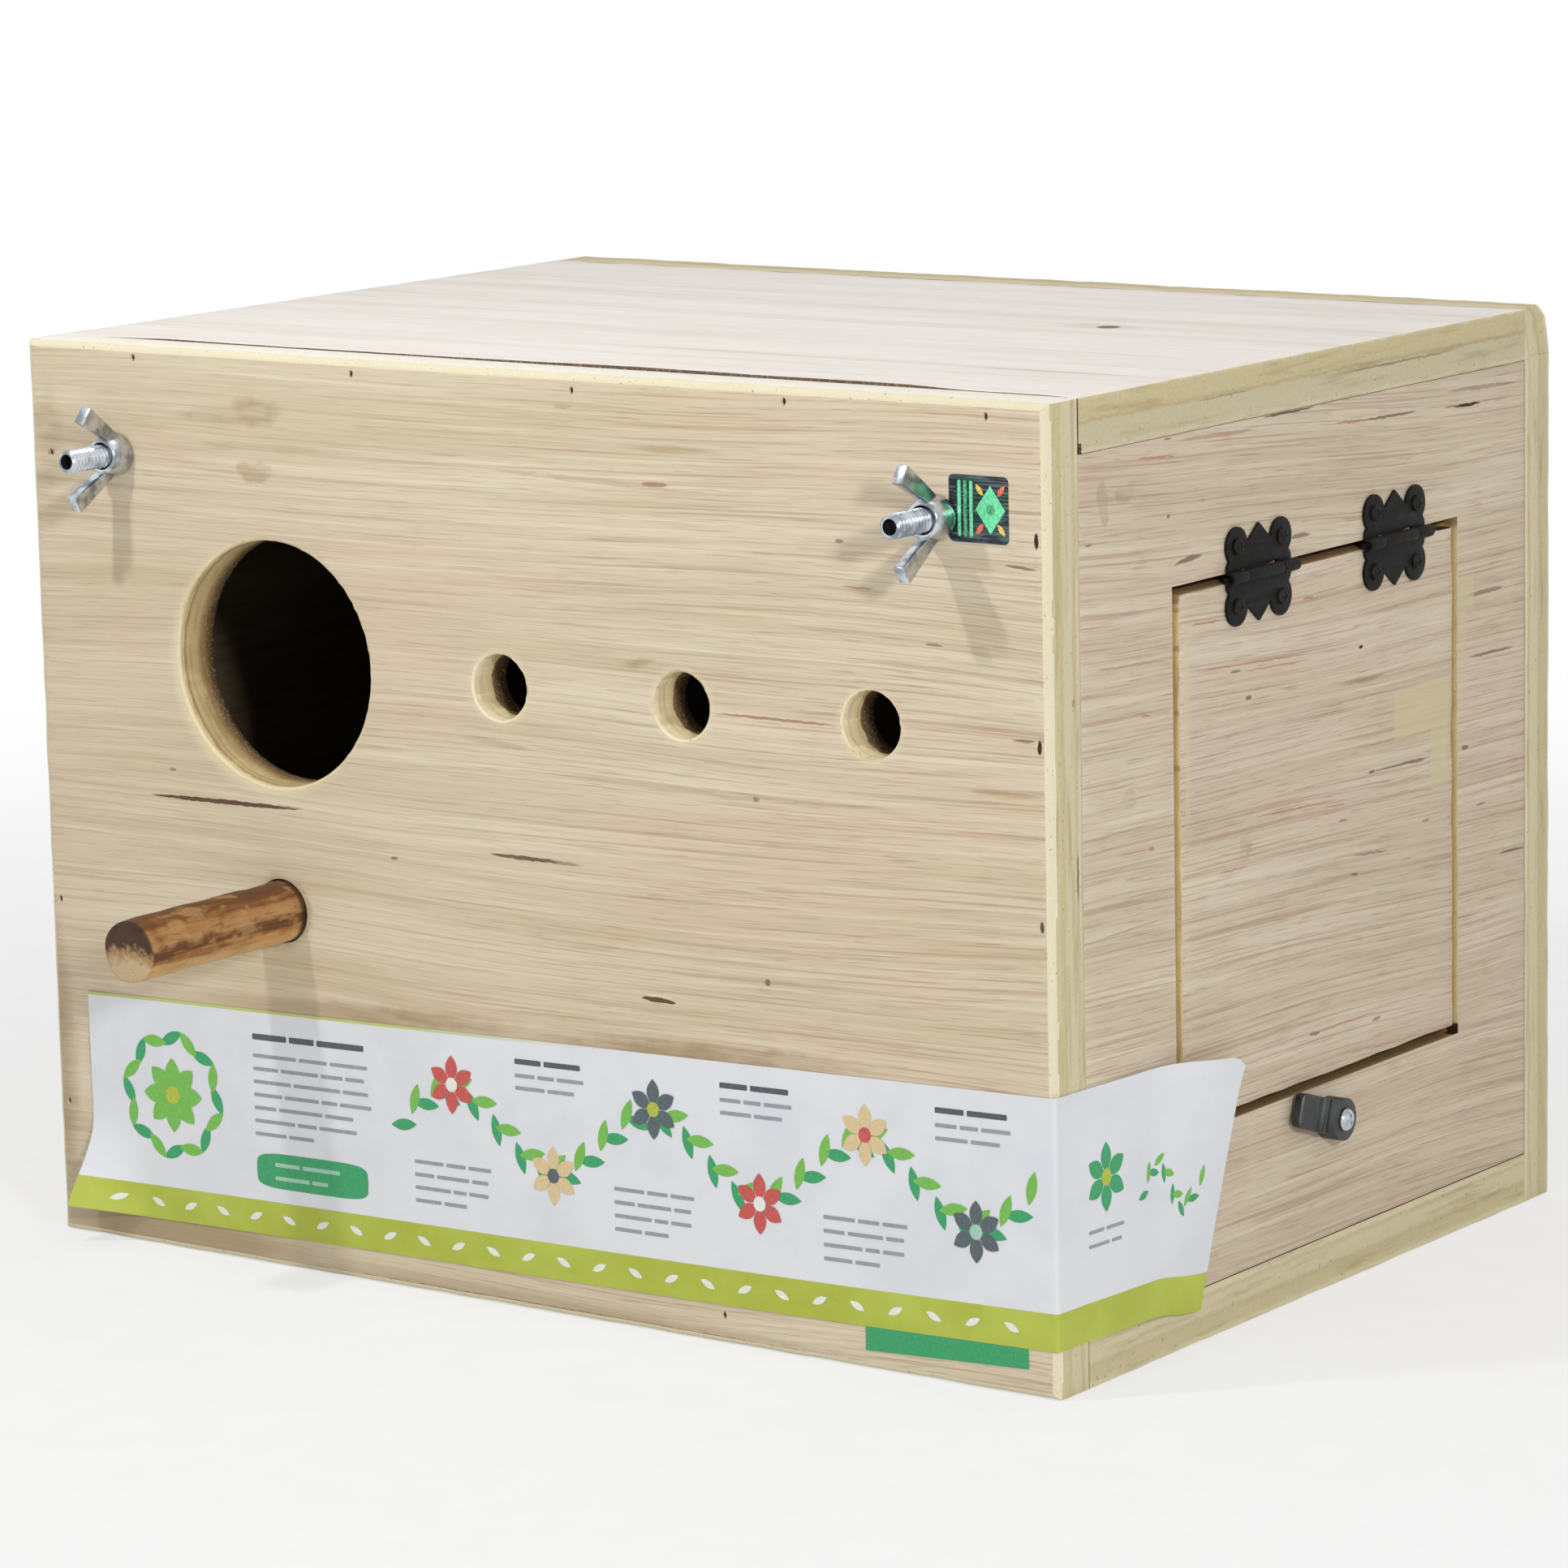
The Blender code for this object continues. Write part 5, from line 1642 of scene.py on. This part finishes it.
def print_on(piece: Piece, prints: tuple[Print, ...], level: float) -> list[Ink]:
    """Lay printed shapes just over a flat sheet that faces -Y.

    Args:
        piece: The sheet, still flat, whose own finish is its first.
        prints: The shapes.
        level: The Y at which they lie.

    Returns:
        The inks used, in the order of their material numbers from 1.
    """
    inks = sorted({item.ink for item in prints}, key=lambda ink: ink.name)
    layers: list[int] = []
    with editing(piece, "FACE"):
        for item in prints:
            layers.append(item.layer if item.layer is not None else max((
                1 + layer for other, layer in zip(prints, layers)
                if abs(other.along - item.along) < (other.reach[0] + item.reach[0]) / 2
                and abs(other.up - item.up) < (other.reach[1] + item.reach[1]) / 2
            ), default=0))
            bpy.ops.mesh.select_all(action="DESELECT")
            bpy.ops.mesh.primitive_circle_add(vertices=28, radius=1, fill_type="TRIFAN")
            mesh = bmesh.from_edit_mesh(piece.data)
            powers, turn = item.outline.value, math.radians(item.turn)
            for vertex in mesh.verts:
                if vertex.select:
                    u = math.copysign(abs(vertex.co.x) ** powers[0], vertex.co.x) * item.width / 2
                    v = math.copysign(abs(vertex.co.y) ** powers[1], vertex.co.y) * item.height / 2
                    x = item.along + u * math.cos(turn) - v * math.sin(turn)
                    z = item.up + u * math.sin(turn) + v * math.cos(turn)
                    vertex.co = Vector((x * MM, level - LAYER_STEP * min(layers[-1], LAYER_CAP), z * MM))
            for face in mesh.faces:
                if face.select:
                    face.material_index = 1 + inks.index(item.ink)
            bmesh.update_edit_mesh(piece.data)
    return inks


def rows(
    ink: Ink, left: float, top: float, step: float, height: float, *runs: tuple[float, ...]
) -> tuple[Print, ...]:
    """Rows of short bars that stand for lines of small print.

    Args:
        ink: Their colour.
        left: Where each row starts.
        top: The first row's height.
        step: The drop from row to row.
        height: A bar's height.
        runs: Each row's bar lengths.

    Returns:
        The bars.
    """
    found = []
    for number, run in enumerate(runs):
        at = left
        for length in run:
            found.append(Print(Outline.BAR, ink, at + length / 2, top - number * step, length, height))
            at += length + 0.9
    return tuple(found)


def blossom(along: float, up: float, size: float, ink: Ink, heart: Ink, petals: int = 6) -> tuple[Print, ...]:
    """A flower of leaf shapes round a disc."""
    found = []
    for number in range(petals):
        angle = 90 + 360 * number / petals
        x = along + math.cos(math.radians(angle)) * size * 0.3
        z = up + math.sin(math.radians(angle)) * size * 0.3
        found.append(Print(Outline.LEAF, ink, x, z, size * 0.46, size * 0.27, angle))
    found.append(Print(Outline.DISC, heart, along, up, size * 0.26, size * 0.26))
    return tuple(found)


def garland(
    start: float, end: float, level: float, swing: float, wave: float, size: float
) -> tuple[Print, ...]:
    """A waving branch of leaves that point to either side.

    Args:
        start: Where it starts along the sheet.
        end: Where it ends.
        level: Its middle height.
        swing: How far it waves up and down.
        wave: The length of one wave.
        size: A leaf's length.

    Returns:
        The leaves.
    """
    found = []
    count = round((end - start) / (size * 0.44))
    for number in range(count):
        along = start + (end - start) * number / (count - 1)
        phase = math.tau * (along - start) / wave
        slope = math.degrees(math.atan(swing * math.tau / wave * math.cos(phase)))
        way = 1 if number % 2 else -1
        ink = Ink.LEAF if way > 0 else Ink.GREEN
        up = level + swing * math.sin(phase) + way * size * 0.22
        found.append(Print(Outline.LEAF, ink, along, up, size, size * 0.36, slope + way * 36, number % 2))
    return tuple(found)


def wreath(along: float, up: float, radius: float, size: float, leaves: int = 16) -> tuple[Print, ...]:
    """A ring of slanted leaves in two greens."""
    found = []
    for number in range(leaves):
        angle = 360 * number / leaves
        ink = Ink.LEAF if number % 2 else Ink.GREEN
        x = along + radius * math.cos(math.radians(angle))
        z = up + radius * math.sin(math.radians(angle))
        turn = angle + 90 + 26 * (-1) ** number
        found.append(Print(Outline.LEAF, ink, x, z, size, size * 0.38, turn, number % 2))
    return tuple(found)


WAVE = 61.3
CREST_FLOWERS = ((Ink.CORAL, Ink.WHITE), (Ink.SLATE, Ink.LIME), (Ink.SAND, Ink.CORAL))
HOLLOW_FLOWERS = ((Ink.SAND, Ink.SLATE), (Ink.CORAL, Ink.WHITE), (Ink.SLATE, Ink.MINT))
FRONT_PRINTS = (
    *wreath(-113, 32.6, 14.6, 8.0), *blossom(-113, 32.6, 18, Ink.LEAF, Ink.LIME, 8),
    *rows(Ink.CHARCOAL, -86, 50.2, 3, 1.5, (11, 8, 15)),
    *rows(Ink.GREY, -86, 45.4, 3.3, 0.9, (14, 9, 12), (8, 12, 7, 6), (12, 15, 8), (9, 11, 5, 10), (7, 14, 9),
          (13, 6, 12), (10, 8)),
    Print(Outline.TILE, Ink.GREEN, -68, 16.6, 36, 9.0),
    *rows(Ink.MINT, -80, 18.2, 3.4, 1.0, (8, 12), (11, 5)),
    *garland(-38, 146, 34.5, 8.5, WAVE, 8.0),
    *(bit for n, inks in enumerate(CREST_FLOWERS) for bit in blossom(-22.7 + WAVE * n, 44.0, 13.5, *inks)),
    *(bit for n, inks in enumerate(HOLLOW_FLOWERS) for bit in blossom(8.0 + WAVE * n, 25.0, 13.5, *inks)),
    *(bar for n in range(3) for bar in rows(
        Ink.GREY, -35.0 + WAVE * n, 24.0, 3.2, 0.9, (9, 6, 7), (6, 10, 5), (11, 4, 6), (8, 7))),
    *(bar for n in range(3) for bar in rows(Ink.CHARCOAL, -3.0 + WAVE * n, 51.6, 3, 1.3, (8, 11))),
    *(bar for n in range(3) for bar in rows(Ink.GREY, -3.0 + WAVE * n, 48.2, 3, 0.9, (6, 5, 8), (9, 8))),
    *(Print(Outline.LEAF, Ink.WHITE, -130 + 10.8 * n, 4.4, 4.6, 1.7, 24 * (-1) ** n) for n in range(26)),
)
FLAP_PRINTS = (
    *blossom(172, 36, 15, Ink.GREEN, Ink.LIME), *rows(Ink.GREY, 165, 24.4, 3.2, 0.8, (6, 7), (8, 4)),
    *garland(188, 214, 30, 5, 26, 5.0),
)
FOIL_PRINTS = (
    *(Print(Outline.BAR, ink, 129.0 + 1.6 * n, 204.0, 0.9, 12.6)
      for n, ink in enumerate((Ink.GLOW, Ink.GREEN, Ink.GLOW))),
    Print(Outline.STAR, Ink.GLOW, 137.4, 204.0, 8.0, 11.0),
    Print(Outline.DISC, Ink.GREEN, 137.4, 204.0, 2.4, 2.4),
    *(Print(Outline.LEAF, Ink.EMBER if right == up else Ink.AMBER, 137.4 + 2.9 * right, 204.0 + 4.4 * up,
            3.2, 1.3, right * up * 52) for right in (-1, 1) for up in (-1, 1)),
)


@dataclass
class PrintedSheet:
    """The paper sheet taped across the foot of the front and round onto the right side.

    Its lengths are in millimetres, and climb and flap_fall are slopes.
    """

    left: float = -140.0
    face: float = HALF_DEPTH
    side: float = HALF_WIDTH
    height: float = 57.0
    foot: float = 6.6
    climb: float = 0.0250
    proud: float = 0.28
    round: float = 0.6
    end: float = 222.5
    flap_fall: float = 0.020
    foot_sag: float = 2.2
    sag_end: float = 110.0
    end_drop: float = 1.6
    end_reach: float = 26.0
    corner_drop: float = 2.4
    corner_reach: float = 4.0
    slant: float = 13.0
    slant_reach: float = 44.0
    curl_start: float = 120.0
    curl_end: float = 142.0
    curl_out: float = 14.0
    curl_up: float = 4.4
    lift: float = 0.5
    lift_reach: float = 12.0
    flap_out: float = 6.2
    flap_reach: float = 34.0
    flap_gap: float = 0.7
    gap_start: float = 6.0
    gap_end: float = 34.0

    def lie(self, point: Vector) -> Vector:
        """Where a point of the flat sheet lies on the box.

        Args:
            point: X along the sheet and Z up it, with Y its height over the paper, all in metres.

        Returns:
            The place on the box, in metres.
        """
        s, over, v = point.x / MM, -point.y / MM, point.z / MM
        share = v / self.height
        z = self.foot + v + self.climb * (min(s, self.side) - self.left)
        sag = self.foot_sag * ramp_up(s, self.left, self.sag_end) * (1 - share)
        z -= self.flap_fall * max(0.0, s - self.side) + sag
        z -= self.end_drop * ramp_up(s, self.end - self.end_reach, self.end)
        near_corner = ramp_up(s, self.end - self.corner_reach, self.end)
        z -= self.corner_drop * near_corner ** 2 * max(0.0, 8 * share - 7)
        s -= self.slant * (1 - share) * ramp_up(s, self.end - self.slant_reach, self.end)
        off = self.proud + over
        curl = ramp_up(-s, self.curl_start, self.curl_end) ** 1.5 * (1 - ramp_up(share, -0.15, 0.45))
        off, z = off + self.curl_out * curl, z + self.curl_up * curl
        off += self.lift * (1 - ramp_up(s, self.left, self.left + self.lift_reach)) * share
        bend = ramp_up(s, self.end - self.flap_reach, self.end + 4)
        gap = self.flap_gap * ramp_up(s, self.side + self.gap_start, self.side + self.gap_end)
        off += self.flap_out * bend * (0.35 + 0.65 * share) + gap
        radius = self.round + off
        start = self.side - self.round
        arc = self.round * math.pi / 2
        if s <= start:
            return mm(s, -self.face - off, z)
        if s <= start + arc:
            angle = (s - start) / self.round
            return mm(start + radius * math.sin(angle), -self.face + self.round - radius * math.cos(angle), z)
        return mm(self.side + off, -self.face + self.round + s - start - arc, z)

    def sheet(self, name: str, start: float, end: float, prints: tuple[Print, ...]) -> Piece:
        """Model one length of the sheet.

        Args:
            name: The piece's name.
            start: Where it starts along the sheet, in millimetres.
            end: Where it ends.
            prints: What is printed on it.

        Returns:
            The piece, dressed and in place.
        """
        let_go()
        bpy.ops.mesh.primitive_grid_add(
            x_subdivisions=round((end - start) / 2), y_subdivisions=26, size=1, location=(0, 0, 0),
            rotation=(math.radians(90), 0, 0),
        )
        paper = settle(bpy.context.object)
        paper.scale = ((end - start) * MM, 1, self.height * MM)
        paper.location = mm((start + end) / 2, 0, self.height / 2)
        settle(paper)
        with editing(paper):
            for share in (0.0, 0.25, 0.5, 0.75, 1.0):
                place = (self.side - self.round + share * self.round * math.pi / 2) * MM
                bpy.ops.mesh.select_all(action="SELECT")
                bpy.ops.mesh.bisect(plane_co=(place, 0, 0), plane_no=(1, 0, 0))
        finish_with(paper, "SOLIDIFY", thickness=0.00014, offset=-1)
        inks = print_on(paper, prints, -0.00006)
        layer = paper.data.uv_layers.active or paper.data.uv_layers.new(name="flat_sheet")
        for loop in paper.data.loops:
            point = paper.data.vertices[loop.vertex_index].co
            layer.data[loop.index].uv = (point.x, point.z)
        shape(paper, self.lie)
        finishes = [Paper(f"{name}_paper").make(), *[Printing(ink).make() for ink in inks]]
        return mount(smooth(paper, 50), name, "carcass", None, finishes)

    def tuck(self) -> None:
        """The green end of the sheet that shows under its foot."""
        low, high = mm(99, -114.52, 4.6), mm(144.4, -114.4, 12.4)
        strip = slab(low, high)
        with editing(strip, "EDGE"):
            bpy.ops.mesh.select_all(action="SELECT")
            bpy.ops.mesh.subdivide(number_cuts=3)
        shape(strip, lambda p: p + Vector((0, 0, (p.x - 0.099) * 0.045)))
        take(strip)
        mount(strip, "sheet_tucked_end", "carcass", None, [Printing(Ink.GREEN).make()])

    def build(self) -> None:
        """Lay the sheet: its front, its flap and its tucked end."""
        self.sheet("printed_sheet", self.left, self.side + 0.6, FRONT_PRINTS)
        flap = self.sheet("printed_flap", self.side + 0.6, self.end, FLAP_PRINTS)
        corner = mm(self.side, -self.face, 0)
        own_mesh(flap)
        self.tuck()


@dataclass
class FoilSticker:
    """The small foil seal beside the right wing nut."""

    left: float = 126.2
    right: float = 142.2
    foot: float = 196.4
    head: float = 211.6
    corner: float = 0.0012

    def build(self) -> None:
        """Model the seal with rounded corners and its glinting shapes."""
        let_go()
        bpy.ops.mesh.primitive_plane_add(size=1, rotation=(math.radians(90), 0, 0))
        seal = settle(bpy.context.object)
        seal.scale = ((self.right - self.left) * MM, 1, (self.head - self.foot) * MM)
        seal.location = mm((self.left + self.right) / 2, -HALF_DEPTH - 0.16, (self.foot + self.head) / 2)
        settle(seal)
        with editing(seal, "VERT"):
            bpy.ops.mesh.select_all(action="SELECT")
            bpy.ops.mesh.bevel(offset=self.corner, segments=6, affect="VERTICES")
        finish_with(seal, "SOLIDIFY", thickness=0.00014, offset=-1)
        inks = print_on(seal, FOIL_PRINTS, (-HALF_DEPTH - 0.2) * MM)
        finishes = [Foil("dark_foil").make(), *[Printing(ink, True).make() for ink in inks]]
        mount(seal, "foil_seal", "carcass", None, finishes)


# Floor, light and camera


@dataclass
class Studio:
    """A pale floor, soft lamps and the camera of the photograph."""

    lens: float = 142.85
    camera_place: tuple[float, float, float] = (0.90993, -1.25519, 0.39477)
    camera_turn: tuple[float, float, float] = (79.6314, 1.1991, 35.8574)
    ambient: float = 0.455

    def white_rays(self, bench_tree: bpy.types.NodeTree) -> Socket:
        """1 for a ray from the camera, a mirror or a glass, and 0 for one that only lights."""
        path = bench_tree.nodes.new("ShaderNodeLightPath")
        found = path.outputs["Is Camera Ray"]
        for name in ("Is Glossy Ray", "Is Transmission Ray"):
            node = bench_tree.nodes.new("ShaderNodeMath")
            node.operation = "MAXIMUM"
            bench_tree.links.new(found, node.inputs[0])
            bench_tree.links.new(path.outputs[name], node.inputs[1])
            found = node.outputs[0]
        return found

    def world(self) -> None:
        """A white surround that lights at a plain level."""
        world = bpy.data.worlds.new("white_surround")
        bpy.context.scene.world = world
        world.use_nodes = True
        tree = world.node_tree
        tree.nodes.clear()
        output = tree.nodes.new("ShaderNodeOutputWorld")
        lit, seen, mixed = (tree.nodes.new(kind) for kind in (
            "ShaderNodeBackground", "ShaderNodeBackground", "ShaderNodeMixShader"))
        lit.inputs["Color"].default_value = (1.0, 1.0, 1.0, 1)
        lit.inputs["Strength"].default_value = self.ambient
        seen.inputs["Color"].default_value = (1, 1, 1, 1)
        seen.inputs["Strength"].default_value = 1.0
        tree.links.new(self.white_rays(tree), mixed.inputs[0])
        tree.links.new(lit.outputs[0], mixed.inputs[1])
        tree.links.new(seen.outputs[0], mixed.inputs[2])
        tree.links.new(mixed.outputs[0], output.inputs[0])

    def floor(self) -> None:
        """A wide pale floor that keeps the shadow and fades to white further out."""
        let_go()
        bpy.ops.mesh.primitive_circle_add(vertices=96, radius=6, fill_type="TRIFAN", location=(0, 0, -0.0001))
        ground = settle(bpy.context.object)
        ground.name = "pale_floor"
        bench = Bench("pale_floor")
        tree = bench.tree
        grain = bench.even(60, 2.0)
        tone = bench.mix(bench.span(grain, 0.3, 0.7), (0.80, 0.80, 0.80, 1), (0.83, 0.83, 0.83, 1))
        bench.finish(tone, 0.9, grain, 0.00002, Specular_IOR_Level=0.1)
        glow = bench.node("Emission", {"Color": (1, 1, 1, 1), "Strength": 1.0}).outputs[0]
        apart = bench.node("SeparateXYZ", {0: bench.place})
        flat = bench.node("CombineXYZ", {"X": apart.outputs[0], "Y": apart.outputs[1]}).outputs[0]
        radius = bench.node("VectorMath", {0: flat}, operation="LENGTH").outputs["Value"]
        share = bench.sum("MULTIPLY", bench.span(radius, 0.25, 0.9, 0.6, 1.0), self.white_rays(tree))
        mixed = bench.node("MixShader", {0: share, 1: bench.surface.outputs[0], 2: glow})
        tree.links.new(mixed.outputs[0], bench.output.inputs[0])
        ground.data.materials.append(bench.material)

    def lamp(
        self, name: str, place: tuple[float, float, float], aim: Vector, size: float, watts: float
    ) -> None:
        """One square soft lamp.

        Args:
            name: Its name.
            place: Where it stands, in metres.
            aim: What it looks at.
            size: Its width, in metres.
            watts: Its strength.
        """
        data = bpy.data.lights.new(name, "AREA")
        data.size, data.energy = size, watts
        lamp = bpy.data.objects.new(name, data)
        bpy.context.scene.collection.objects.link(lamp)
        lamp.location = place
        lamp.rotation_euler = (Vector(place) - aim).to_track_quat("Z", "Y").to_euler()
        lamp.visible_camera = False

    def lamps(self) -> None:
        """A small key lamp at the upper left, a broad one at the right and one overhead."""
        middle = Vector((0, 0, 0.12))
        self.lamp("key_lamp", (-0.13, -0.43, 0.63), middle, 0.035, 1.38)
        self.lamp("side_lamp", (1.28, -0.955, 0.64), middle, 0.14, 10.3)
        self.lamp("overhead_lamp", (0.0, 0.35, 1.40), middle, 0.90, 2.6)

    def camera(self) -> None:
        """The photograph's camera."""
        data = bpy.data.cameras.new("photo_camera")
        data.lens, data.sensor_width, data.sensor_fit = self.lens, 36.0, "HORIZONTAL"
        data.clip_start, data.clip_end = 0.02, 50.0
        data.dof.use_dof = False
        camera = bpy.data.objects.new("photo_camera", data)
        bpy.context.scene.collection.objects.link(camera)
        camera.location = self.camera_place
        camera.rotation_euler = Euler([math.radians(a) for a in self.camera_turn])
        bpy.context.scene.camera = camera

    def build(self) -> None:
        """Set the stage."""
        bpy.context.scene.view_settings.view_transform = "Standard"
        self.camera()
        self.world()
        self.floor()
        self.lamps()


def main() -> None:
    """Build the stage and every sub-assembly in order."""
    logging.basicConfig(level=logging.INFO, format="%(message)s")
    Studio().build()
    Carcass().build()
    Door().build()
    Perch().build()
    for side in ("left", "right"):
        HangingBolt(side).build()
    Hinges().build()
    TurnButton().build()
    PrintedSheet().build()
    FoilSticker().build()
    let_go()


if __name__ == "__main__":
    main()
